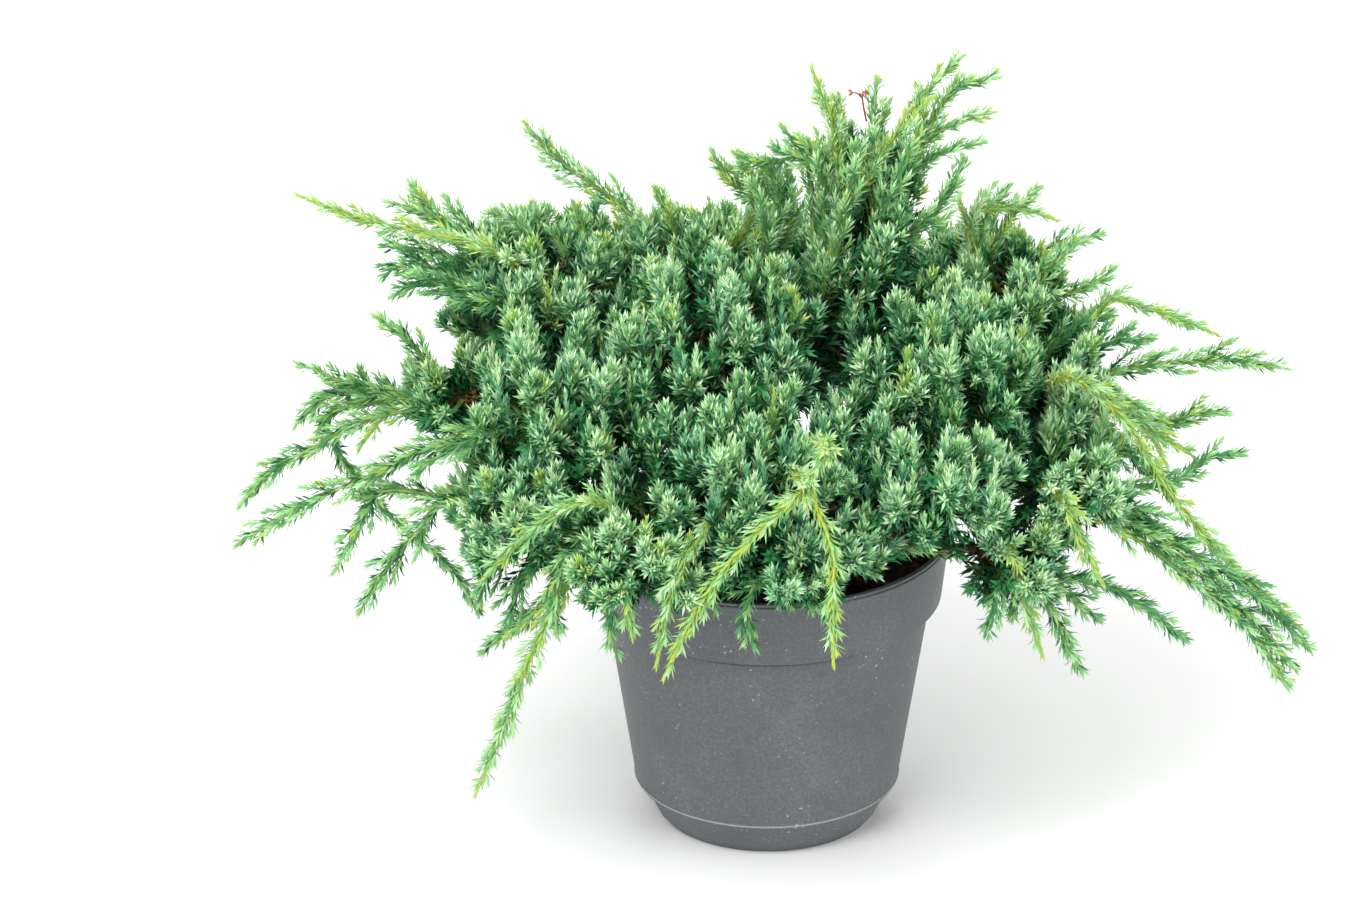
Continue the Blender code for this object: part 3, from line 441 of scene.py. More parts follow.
class Tint(Enum):
    """Colours of the needles, as outer side and inner side. The inner side, which faces the shoot's tip,
    carries the pale wax bands of this species."""

    # SHADE and DEEP, the dark end of the ladder, go to shoots deep in the crown, to the feet of shoots and to the
    # shade shoots inside: their darkness is painted shade.
    SHADE = ("#0b401a", "#16542a")
    DEEP = ("#206236", "#3b8850")
    BLUE = ("#4c945e", "#7bb983")
    MID = ("#76b671", "#a3d698")
    FRESH = ("#95ca88", "#c2e8b2")
    LIGHT = ("#b3dca0", "#dbf3c8")
    TEAL = ("#458a66", "#73b38e")
    AQUA = ("#60a87a", "#92cd9f")
    SILVER = ("#89c492", "#bbe4b7")
    OLIVE = ("#84b568", "#b2d992")
    LIME = ("#a2c55e", "#cbe28c")
    GOLD = ("#b8c748", "#d6e37c")
    DEAD = ("#a35c44", "#ba745a")

    def finishes(self) -> list[bpy.types.Material]:
        """The materials of the outer and the inner side."""
        outer, inner = self.value
        word = self.name.lower()
        return [PlainFinish(f"needle_outer_{word}", outer).material(),
                PlainFinish(f"needle_wax_{word}", inner, roughness=0.55).material()]


TINTS = list(Tint)

# Tints by rank, from dark to light, of bluer, usual and yellower sprays.
FAMILIES = np.array([[TINTS.index(tint) for tint in family] for family in (
    (Tint.SHADE, Tint.DEEP, Tint.TEAL, Tint.AQUA, Tint.SILVER, Tint.LIGHT),
    (Tint.SHADE, Tint.DEEP, Tint.BLUE, Tint.MID, Tint.FRESH, Tint.LIGHT),
    (Tint.SHADE, Tint.DEEP, Tint.BLUE, Tint.OLIVE, Tint.FRESH, Tint.LIME))])


class TwigSkin(Enum):
    """Skins of the twigs, from the oldest wood to this year's growth."""

    BROWN = PlainFinish("twig_brown_bark", "#6e4428", 0.8)
    RUST = PlainFinish("twig_rust_bark", "#8f4a26", 0.75)
    GREEN = PlainFinish("twig_green_skin", "#7d9a4c", 0.6)
    OLIVE = PlainFinish("twig_olive_skin", "#7f8f3c", 0.55)
    YELLOW = PlainFinish("twig_yellow_skin", "#a9b440", 0.5)


# Foliage


@dataclass(frozen=True)
class NeedleForm:
    """Sizes of the needles on one kind of shoot."""

    length: float
    width: float
    step: float  # between whorls of three
    low_angle: float  # from the shoot's axis at its foot, in degrees
    tip_angle: float


class ShootKind(Enum):
    """The kinds of shoots that this plant carries."""

    PLUME = NeedleForm(4.5, 1.0, 1.25, 40.0, 14.0)
    SPIRE = NeedleForm(4.5, 1.0, 1.25, 40.0, 15.0)
    SPUR = NeedleForm(4.2, 1.0, 1.35, 44.0, 17.0)
    LEADER = NeedleForm(4.6, 0.95, 1.6, 38.0, 24.0)
    TIP = NeedleForm(4.4, 0.95, 1.3, 36.0, 10.0)
    SIDE = NeedleForm(4.3, 0.95, 1.3, 44.0, 16.0)
    SHADE = NeedleForm(5.4, 1.5, 2.0, 58.0, 34.0)
    DRY = NeedleForm(2.4, 0.7, 2.2, 55.0, 40.0)


@dataclass(frozen=True)
class LeaderGrowth:
    """Colours and side shoots of one kind of long leader."""

    # Low tints darker than the tip's are partly painted shade at the foot of a leader and its side shoots, and
    # partly the older growth there.
    lead: tuple[Tint, Tint, Tint]  # of its own needles low, in the middle and at the tip
    side: tuple[int, int, int]  # ranks of its side shoots' tints there
    skin: TwigSkin
    bare_tip: float  # how much of its tip has no side shoots, in millimetres
    least_side: float  # length of the first side shoot behind that
    side_growth: float  # how much longer they get for each millimetre further back


class Age(Enum):
    """How long leaders look, by age: short blunt shoots of the crown, long slender young ones, dead wood."""

    TEAL = LeaderGrowth((Tint.BLUE, Tint.BLUE, Tint.MID), (1, 2, 3), TwigSkin.GREEN, 2.6, 3.6, 0.46)
    GREEN = LeaderGrowth((Tint.BLUE, Tint.OLIVE, Tint.FRESH), (1, 3, 4), TwigSkin.OLIVE, 3.4, 3.4, 0.40)
    YOUNG = LeaderGrowth((Tint.OLIVE, Tint.OLIVE, Tint.LIME), (3, 4, 4), TwigSkin.YELLOW, 6.0, 2.8, 0.34)
    GOLD = LeaderGrowth((Tint.LIME, Tint.LIME, Tint.GOLD), (3, 4, 5), TwigSkin.YELLOW, 6.0, 2.8, 0.3)
    DEAD = LeaderGrowth((Tint.DEAD, Tint.DEAD, Tint.DEAD), (0, 0, 0), TwigSkin.RUST, 0.0, 0.0, 0.0)


# Each long leader: its mass, the length of the side shoots at its foot, its age, and the points that it
# runs past on its way out, with its tip as the last.
LEADERS = (
    ("top_leader", 7, Age.GREEN, ((48, 10, 244), (62, 11, 260))),
    ("top_leader", 5, Age.GREEN, ((48, 16, 242), (47, 18, 247))),
    ("top_leader", 6, Age.GREEN, ((53, 8, 242), (64, 8, 250), (74, 9, 253))),
    ("top_leader", 6, Age.GREEN, ((58, 3, 239), (72, 2, 244))),
    ("top_leader", 6, Age.TEAL, ((56, -3, 232), (69, -4, 236))),
    ("top_leader", 11, Age.TEAL, ((55, -4, 215), (62, -2, 230))),
    ("top_leader", 7, Age.GREEN, ((33, 8, 240), (34, 8, 254))),
    ("top_leader", 6, Age.GREEN, ((37, 16, 237), (39, 19, 242))),
    ("top_leader", 6, Age.GREEN, ((22, 9, 239), (22, 9, 248))),
    ("top_leader", 7, Age.YOUNG, ((21, 6, 233), (17, 8, 243), (13, 8, 258))),
    ("top_leader", 10, Age.TEAL, ((19, 6, 220), (12, 6, 228), (3, 6, 237))),
    ("top_leader", 7, Age.TEAL, ((18, 2, 218), (9, 2, 227), (-1, 0, 233))),
    ("top_leader", 6, Age.YOUNG, ((40, -2, 237), (53, 4, 249))),
    ("top_leader", 7, Age.TEAL, ((14, 10, 219), (5, 10, 223), (-3, 10, 223), (-12, 10, 226))),
    ("top_leader", 7, Age.TEAL, ((44, -8, 234), (47, -8, 244))),
    ("top_leader", 8, Age.TEAL, ((27, -8, 230), (28, -8, 240))),
    ("top_left", 12, Age.GREEN, ((-41, 26, 195), (-55, 29, 206), (-69, 30, 217), (-79, 30, 229))),
    ("top_left", 11, Age.GREEN, ((-32, 26, 198), (-37, 26, 209))),
    ("top_left", 14, Age.GREEN, ((-4, 18, 200), (-12, 18, 212), (-19, 18, 225))),
    ("top_left", 14, Age.GREEN, ((4, 14, 200), (-4, 15, 213), (-11, 14, 225))),
    ("top_left", 11, Age.TEAL, ((1, 12, 218), (-5, 10, 224))),
    ("top_left", 8, Age.TEAL, ((-3, 4, 212), (-6, 4, 220))),
    ("top_left", 11, Age.GREEN, ((-22, 22, 195), (-26, 22, 203))),
    ("left_upper", 8, Age.YOUNG, ((-82, 6, 191), (-105, 16, 195), (-128, 22, 197), (-152, 24, 206))),
    ("left_upper", 10, Age.GREEN, ((-102, 26, 193), (-110, 28, 201), (-116, 30, 209))),
    ("left_upper", 5, Age.GREEN, ((-110, 26, 198), (-123, 26, 203))),
    ("left_upper", 10, Age.GREEN, ((-96, 30, 191), (-105, 32, 203))),
    ("left_upper", 8, Age.TEAL, ((-107, 18, 188), (-125, 18, 191))),
    ("left_upper", 13, Age.TEAL, ((-102, 14, 182), (-117, 12, 187), (-124, 10, 182))),
    ("left_upper", 13, Age.TEAL, ((-98, 8, 180), (-111, 4, 184), (-121, 2, 179))),
    ("left_upper", 12, Age.TEAL, ((-92, 4, 178), (-108, 4, 181))),
    ("left_upper", 9, Age.GREEN, ((-76, 26, 189), (-84, 26, 197), (-92, 24, 200))),
    ("left_upper", 8, Age.GREEN, ((-68, 30, 187), (-72, 32, 192))),
    ("left_upper", 8, Age.GREEN, ((-60, 30, 192), (-63, 30, 202))),
    ("left_wing", 10, Age.GREEN, ((-114, 0, 164), (-127, 2, 174))),
    ("left_wing", 8, Age.GREEN, ((-118, -2, 146), (-134, -4, 152), (-152, -4, 160))),
    ("left_wing", 7, Age.TEAL, ((-126, 2, 146), (-132, 2, 156))),
    ("left_wing", 7, Age.TEAL, ((-117, 4, 144), (-126, 6, 150))),
    ("left_wing", 7, Age.GREEN, ((-127, 2, 145), (-141, 4, 145), (-153, 4, 132))),
    ("left_wing", 8, Age.GREEN, ((-122, -6, 143), (-144, -8, 132), (-158, -10, 125), (-171, -10, 110))),
    ("left_wing", 6, Age.GREEN, ((-138, 0, 144), (-134, 4, 118), (-117, 8, 95), (-101, 8, 80), (-93, 8, 63))),
    ("left_mid", 11, Age.GREEN, ((-102, -38, 148), (-123, -36, 136), (-150, -33, 122), (-171, -32, 107))),
    ("left_mid", 12, Age.TEAL, ((-103, -42, 145), (-114, -42, 137))),
    ("left_low", 8, Age.GREEN, ((-118, -32, 129), (-129, -32, 116), (-140, -30, 96))),
    ("left_low", 10, Age.GREEN, ((-99, -42, 129), (-110, -42, 119), (-122, -41, 104), (-131, -40, 87))),
    ("left_low", 13, Age.GREEN, ((-68, -56, 104), (-80, -54, 92), (-92, -50, 78))),
    ("left_low", 11, Age.TEAL, ((-85, -52, 112), (-93, -52, 97))),
    ("left_low", 11, Age.TEAL, ((-78, -58, 108), (-84, -58, 90))),
    ("front_left_low", 8, Age.YOUNG, ((-54, -74, 129), (-71, -72, 99), (-83, -68, 64), (-94, -66, 35))),
    ("front_left_low", 7, Age.YOUNG, ((-50, -80, 146), (-72, -78, 138), (-92, -72, 113))),
    ("front_left_low", 6, Age.YOUNG, ((-45, -88, 120), (-43, -88, 101))),
    ("front_left_low", 5, Age.TEAL, ((-50, -80, 108), (-49, -78, 92))),
    ("front_left_low", 8, Age.GREEN, ((-64, -76, 123), (-67, -74, 94))),
    ("front_centre", 6, Age.YOUNG, ((-24, -92, 137), (-31, -92, 120), (-36, -90, 92))),
    ("front_centre", 6, Age.GOLD, ((12, -97, 161), (-2, -97, 146), (-21, -94, 119), (-34, -90, 88))),
    ("front_centre", 6, Age.GOLD, ((18, -88, 171), (12, -97, 159), (19, -99, 139), (19, -97, 118), (20, -93, 94))),
    ("front_low", 6, Age.TEAL, ((-6, -86, 117), (-5, -86, 97))),
    ("front_low", 5, Age.TEAL, ((4, -76, 118), (6, -76, 106))),
    ("front_low", 5, Age.TEAL, ((12, -74, 116), (14, -74, 104))),
    ("front_low", 5, Age.TEAL, ((-17, -84, 121), (-18, -84, 110))),
    ("right_front_low", 6, Age.GREEN, ((29, -56, 117), (42, -44, 114), (64, -30, 102))),
    ("right_upper", 8, Age.GREEN, ((100, 12, 178), (112, 12, 186))),
    ("right_upper", 10, Age.YOUNG, ((62, 16, 198), (78, 20, 203), (94, 20, 198))),
    ("right_upper", 9, Age.GREEN, ((78, 22, 200), (88, 22, 210))),
    ("right_upper", 9, Age.GREEN, ((71, 22, 201), (78, 22, 211))),
    ("right_upper", 8, Age.GREEN, ((92, 16, 186), (100, 16, 194))),
    ("right_wing", 6, Age.YOUNG, ((105, 8, 174), (120, 8, 173), (131, 7, 170), (145, 6, 164))),
    ("right_wing", 11, Age.GREEN, ((110, 5, 152), (124, 4, 155), (137, 2, 157), (150, 1, 158), (168, 0, 155))),
    ("right_wing", 12, Age.TEAL, ((104, 4, 160), (115, 4, 164), (124, 4, 164))),
    ("right_wing", 11, Age.TEAL, ((106, -20, 140), (120, -22, 132), (128, -24, 121))),
    ("right_wing", 8, Age.GREEN, ((123, -4, 138), (135, -5, 143), (149, -6, 142))),
    ("right_wing", 7, Age.YOUNG, ((112, -16, 152), (129, -14, 142))),
    ("right_wing", 7, Age.YOUNG, ((119, -16, 143), (137, -16, 131))),
    ("right_wing", 6, Age.GOLD, ((94, -32, 168), (113, -30, 150), (127, -28, 126), (146, -26, 101), (174, -22, 71))),
    ("right_wing", 9, Age.TEAL, ((98, 8, 166), (112, 8, 171))),
    ("right_low", 7, Age.TEAL, ((127, -22, 124), (139, -20, 134), (153, -20, 134))),
    ("right_low", 10, Age.TEAL, ((113, -34, 119), (142, -34, 102), (162, -34, 85), (174, -34, 71))),
    ("right_low", 9, Age.GREEN, ((100, -38, 128), (125, -37, 112), (153, -37, 86), (170, -37, 65))),
    ("right_low", 9, Age.GREEN, ((103, -40, 125), (134, -40, 100), (156, -40, 79), (167, -40, 60))),
    ("right_low", 12, Age.TEAL, ((112, -34, 124), (122, -34, 115), (128, -34, 104))),
    ("right_low", 7, Age.YOUNG, ((91, -58, 139), (98, -60, 123), (106, -62, 107))),
    ("right_under", 7, Age.TEAL, ((94, -46, 104), (116, -46, 96), (134, -44, 79))),
    ("right_under", 9, Age.GREEN, ((87, -56, 103), (94, -56, 85), (100, -54, 73))),
    ("right_under", 9, Age.YOUNG, ((75, -64, 124), (81, -64, 103), (87, -64, 83))),
    ("right_under", 7, Age.TEAL, ((73, -60, 112), (68, -62, 89))),
    ("right_under", 7, Age.TEAL, ((94, -50, 100), (106, -50, 89))),
    ("right_under", 7, Age.TEAL, ((78, -58, 108), (76, -58, 93))),
    ("back_left", 8, Age.GREEN, ((-94, 90, 160), (-112, 102, 158))),
    ("back_centre", 8, Age.GREEN, ((0, 104, 168), (-8, 128, 160))),
    ("back_right", 8, Age.GREEN, ((94, 88, 160), (112, 98, 160))),
    ("back_low_left", 8, Age.YOUNG, ((-112, 76, 114), (-136, 82, 88))),
    ("back_low", 8, Age.YOUNG, ((-10, 130, 104), (-14, 146, 76))),
    ("back_low_right", 8, Age.YOUNG, ((112, 78, 110), (134, 88, 80))),
    ("back_left", 8, Age.GREEN, ((-74, 96, 158), (-90, 112, 154))),
    ("back_right", 8, Age.GREEN, ((66, 98, 158), (76, 116, 156))),
    ("back_centre", 8, Age.TEAL, ((30, 96, 172), (38, 114, 176))),
    ("back_low", 8, Age.GREEN, ((26, 120, 108), (38, 142, 92))),
    ("back_low_left", 8, Age.GREEN, ((-84, 94, 112), (-98, 114, 94))),
    ("back_low_right", 8, Age.GREEN, ((86, 90, 112), (100, 112, 92))),
    ("top_leader", 0, Age.DEAD, ((35, 8, 215), (32, 8, 232), (30, 7, 242), (29, 7, 249))),
    ("top_leader", 0, Age.DEAD, ((35, 8, 215), (32, 8, 232), (30, 7, 244), (28, 6, 248), (24, 6, 249))),
    ("top_leader", 0, Age.DEAD, ((35, 8, 215), (32, 8, 232), (30, 7, 245), (31, 6, 249), (33, 6, 250))),
)


LAST_NEEDLES = 2.4  # how far the needles at a leader's tip reach beyond its twig

# Corners of a needle, as shares of its length forwards and of its width sideways and upwards: foot, left,
# right and tip. The upper faces meet at the widest place and the lower ones at a keel from foot to tip.
NEEDLE_CORNERS = np.array(((0.0, 0.0, 0.0), (0.45, 0.5, 0.3), (0.45, -0.5, 0.3), (1.0, 0.0, 0.2)))
NEEDLE_FACES = np.array(((0, 2, 1), (3, 1, 2), (0, 1, 3), (0, 3, 2)))
NEEDLE_SIDES = np.array((1, 1, 0, 0))
SPIKE_FACES = np.array(((0, 2, 1), (0, 1, 3), (1, 2, 3), (2, 0, 3)))


@dataclass
class Shoots:
    """Shoots of one kind: their curves, where their needles begin, and their colours low, middle and tip."""

    kind: ShootKind
    curves: Array
    first: float
    tints: Array
    radius: Array  # at the foot and at the tip of each
    skin: TwigSkin

    def needles(self, rng: np.random.Generator) -> tuple[Array, Array]:
        """Whorls of three needles along each shoot. A needle's heading is cos(angle) ahead + sin(angle)
        outwards, its inner side faces the shoot, and alternate whorls are turned by half a step.

        Args:
            rng: seeded source of the small differences.

        Returns:
            Corners shaped (n, 4, 3), and the number of each needle's tint.
        """
        form = self.kind.value
        leafy = curve_lengths(self.curves) * (1.0 - self.first)
        whorls = np.maximum(np.round(leafy / form.step), 3).astype(int)
        owner = np.repeat(np.arange(len(whorls)), whorls)
        order = np.arange(len(owner)) - np.repeat(np.cumsum(whorls) - whorls, whorls)
        share = (order + 0.6) / whorls[owner]
        t = self.first + (1.0 - self.first) * share
        place = curve_points(self.curves[owner], t[:, None])[:, 0]
        ahead = curve_headings(self.curves[owner], t[:, None])[:, 0]
        across = plane_normals(self.curves)[owner]
        up = np.cross(ahead, across)
        spin = rng.uniform(0.0, math.tau, len(whorls))[owner] + order % 2 * math.pi / 3
        turn = spin[:, None] + np.arange(3) * math.tau / 3
        turn = (turn + rng.normal(0.0, 0.13, turn.shape))[..., None]
        outwards = np.cos(turn) * across[:, None] + np.sin(turn) * up[:, None]
        angle = form.low_angle + (form.tip_angle - form.low_angle) * share**1.4
        angle = np.radians(angle[:, None] + rng.normal(0.0, 5.0, turn.shape[:2]))[..., None]
        along = np.cos(angle) * ahead[:, None] + np.sin(angle) * outwards
        inner = np.sin(angle) * ahead[:, None] - np.cos(angle) * outwards
        wide = np.cross(inner, along)
        size = (0.82 + 0.3 * np.sin(math.pi * np.clip(share * 0.9 + 0.1, 0, 1)))[:, None]
        size = (size * rng.uniform(0.88, 1.1, turn.shape[:2]))[..., None]
        thick = self.radius[owner, 0] + (self.radius[owner, 1] - self.radius[owner, 0]) * t
        foot = place[:, None] + outwards * (0.6 * thick)[:, None, None]
        forward, side, rise = NEEDLE_CORNERS.T
        corners = (foot[:, :, None]
                   + (along * size * form.length)[:, :, None] * forward[:, None]
                   + (wide * form.width)[:, :, None] * side[:, None]
                   + (inner * form.width)[:, :, None] * rise[:, None])
        # the low zone's darker tint is painted shade, the tip's paler one partly painted light and partly young
        # growth
        zone = np.digitize(share + rng.normal(0.0, 0.05, len(share)), (0.34, 0.74))
        tints = np.repeat(self.tints[owner, zone], 3)
        return corners.reshape(-1, 4, 3), tints

    def twigs(self) -> tuple[Array, Array]:
        """Three-sided tapering tubes under the needles, and three-sided spikes in the small shoots."""
        if self.kind in (ShootKind.SPUR, ShootKind.SPIRE, ShootKind.SIDE, ShootKind.SHADE):
            feet = tubes(self.curves, np.zeros(1), self.radius[:, :1], 3)[:, 0]
            points = np.concatenate((feet, curve_points(self.curves, np.full(1, 0.9))), axis=1)
            shift = np.arange(len(points))[:, None, None] * 4
            return points.reshape(-1, 3), (SPIKE_FACES + shift).reshape(-1, 3)
        t = np.linspace(0.0, 1.0, 5)
        radii = self.radius[:, :1] + (self.radius[:, 1:] - self.radius[:, :1]) * t
        return skin(tubes(self.curves, t, radii, 4))


@dataclass
class Mass:
    """One mass of foliage: its lobe, its bough and its stem, by the rule of its solid."""

    name: str
    tier: int
    centre: Array
    halves: Array
    plumes: int
    lift: float
    bough: Array | None = None
    stem: Array | None = None

    HEART = np.array((0.0, 0.0, 112.0))  # the point that every mass grows away from
    STEM_BACK = 0.85
    STEM_ON = 0.35

    def __post_init__(self) -> None:
        """Works out the lobe's frame, and where the stem enters it and ends."""
        self.centre, self.halves = np.array(self.centre, float), np.array(self.halves, float)
        away = self.centre - self.HEART
        self.heading = unit(away)
        flat = unit(away * (1.0, 1.0, 0.0))
        self.bearing = math.atan2(flat[1], flat[0])
        self.frame = np.array((flat, np.cross(UP, flat), UP))
        size = float(np.linalg.norm(self.halves * (self.frame @ self.heading)))
        self.entry = self.centre - self.STEM_BACK * size * self.heading
        self.end = self.centre + self.STEM_ON * size * self.heading

    def join(self, trunk: "Trunk", root_bearing: float) -> None:
        """Sets the curves of the bough, which leaves the trunk at that bearing, and of the stem."""
        if self.tier == 0:
            start, onward = trunk.axis(trunk.foot + trunk.rise[-1]), UP
        else:
            height = trunk.tiers[self.tier]
            out = np.array((math.cos(root_bearing), math.sin(root_bearing), 0.0))
            root = trunk.axis(height) + out * (trunk.radius_at(height) - 0.8)
            reach = float(np.dot(self.entry - root, out))
            self.bough = np.array((root, root + out * max(0.5 * reach, 6.0), self.entry))
            start, onward = self.entry, curve_headings(self.bough[None], np.ones(1))[0, 0]
        length = float(np.linalg.norm(self.end - start))
        self.stem = np.array((start, start + onward * 0.4 * length, self.end))

    def lobe_points(self, directions: Array) -> Array:
        """Points in directions given outwards, across and upwards, in lobe sizes."""
        return self.centre + (self.halves * directions) @ self.frame

    def lobe_radius(self, points: Array) -> Array:
        """How far out places lie in the lobe: 0 at its centre, 1 at its surface."""
        return np.linalg.norm((points - self.centre) @ self.frame.T / self.halves, axis=-1)

    def plume_curves(self, count: int, edge: float, rng: np.random.Generator) -> Array:
        """Curves of the plumes. Their tips lie on a golden spiral over the outer side of the lobe.

        Args:
            count: number of plumes.
            edge: cosine of the widest angle between a plume and its lobe's heading.
            rng: seeded source of the small differences.

        Returns:
            Curves shaped (count, 3, 3).
        """
        pole = unit(self.frame @ self.heading + 0.35 * UP)
        across = unit(np.cross(pole, (0.0, 1.0, 0.0)))
        up = np.cross(pole, across)
        number = np.arange(count)
        cosine = 1.0 - (1.0 - edge) * (number + 0.5) / count
        sine = np.sqrt(1.0 - cosine**2)
        turn = number * GOLDEN + rng.uniform(-0.25, 0.25, count)
        around = np.cos(turn)[:, None] * across + np.sin(turn)[:, None] * up
        direction = cosine[:, None] * pole + sine[:, None] * around
        tips = self.lobe_points(direction * rng.uniform(0.84, 0.96, (count, 1)))
        roots = curve_points(self.stem[None], 0.98 - 0.6 * number / count)[0]
        middles = (roots + tips) / 2
        middles = middles - UP * self.lift * np.linalg.norm(tips - roots, axis=1, keepdims=True)
        return np.stack((roots, middles, tips), 1)

    def leader_chains(self) -> list[tuple[float, Age, Array]]:
        """The fullness, the age and the run of curves of each long leader."""
        rows = [row[1:] for row in LEADERS if row[0] == self.name]
        roots = curve_points(self.stem[None], np.linspace(0.96, 0.4, max(len(rows), 1)))[0]
        chains = []
        for root, (full, age, points) in zip(roots, rows):
            points = np.array((root, *points), float)
            points[-1] -= LAST_NEEDLES * unit(points[-1] - points[-2])
            chains.append((full, age, chained(points)))
        return chains


def chained(points: Array) -> Array:
    """A run of quadratic curves through points, end to end. With one point on the way, the curve's middle is
    worked out so that it passes the point at the share of the way that the chords give. With more, each
    point, moved out of its corner a little, is the middle of a curve that begins and ends halfway to the
    next ones."""
    if len(points) == 3:
        before, after = np.linalg.norm(np.diff(points, axis=0), axis=1)
        t = before / (before + after)
        middle = (points[1] - (1 - t) ** 2 * points[0] - t**2 * points[2]) / (2 * t * (1 - t))
        return np.array(((points[0], middle, points[2]),))
    inner = points[1:-1] + (points[1:-1] - (points[:-2] + points[2:]) / 2) / 3
    joints = np.concatenate((points[:1], (inner[:-1] + inner[1:]) / 2, points[-1:]))
    return np.stack((joints[:-1], inner, joints[1:]), 1)


@dataclass(frozen=True)
class SideRun:
    """How side shoots stand along their parents."""

    first: float  # share of the parent at which they begin
    last: float
    count: int
    angle: float  # from the parent's axis, in degrees
    forward: float  # how far the tips bend towards the parent's heading
    lift: float  # how far they bend up

    def places(self, parents: Array) -> tuple[Array, Array]:
        """Number of the parent and share of the way along it, for each shoot."""
        shares = np.linspace(self.first, self.last, self.count)
        return np.repeat(np.arange(len(parents)), self.count), np.tile(shares, len(parents))


def side_curves(parents: Array, owner: Array, at: Array, lengths: Array, run: SideRun,
                rng: np.random.Generator) -> Array:
    """Side shoots that leave their parents turn by turn round them and bend forwards and up. The foot's
    heading is cos(angle) ahead + sin(angle) outwards, and the tip's is that + forward ahead + lift up.

    Args:
        parents: curves shaped (n, 3, 3).
        owner: number of the parent of each shoot.
        at: share of the way along the parent at which each leaves it.
        lengths: length of each.
        run: their angle, forward and lift.
        rng: seeded source of the small differences.

    Returns:
        Curves shaped (m, 3, 3).
    """
    count = len(owner)
    at = np.clip(at + rng.uniform(-0.025, 0.025, count), 0.0, 0.98)[:, None]
    roots, ahead = (values(parents[owner], at)[:, 0] for values in (curve_points, curve_headings))
    across = plane_normals(parents)[owner]
    turn = (GOLDEN * np.arange(count) + rng.normal(0.0, 0.25, count))[:, None]
    out = np.cos(turn) * across + np.sin(turn) * np.cross(ahead, across)
    lean = np.radians(run.angle + rng.normal(0.0, 6.0, count))[:, None]
    heading = np.cos(lean) * ahead + np.sin(lean) * out
    reach = (lengths * rng.uniform(0.8, 1.15, count))[:, None]
    tips = roots + unit(heading + run.forward * ahead + run.lift * UP) * reach
    return np.stack((roots, roots + heading * reach * 0.5, tips), 1)


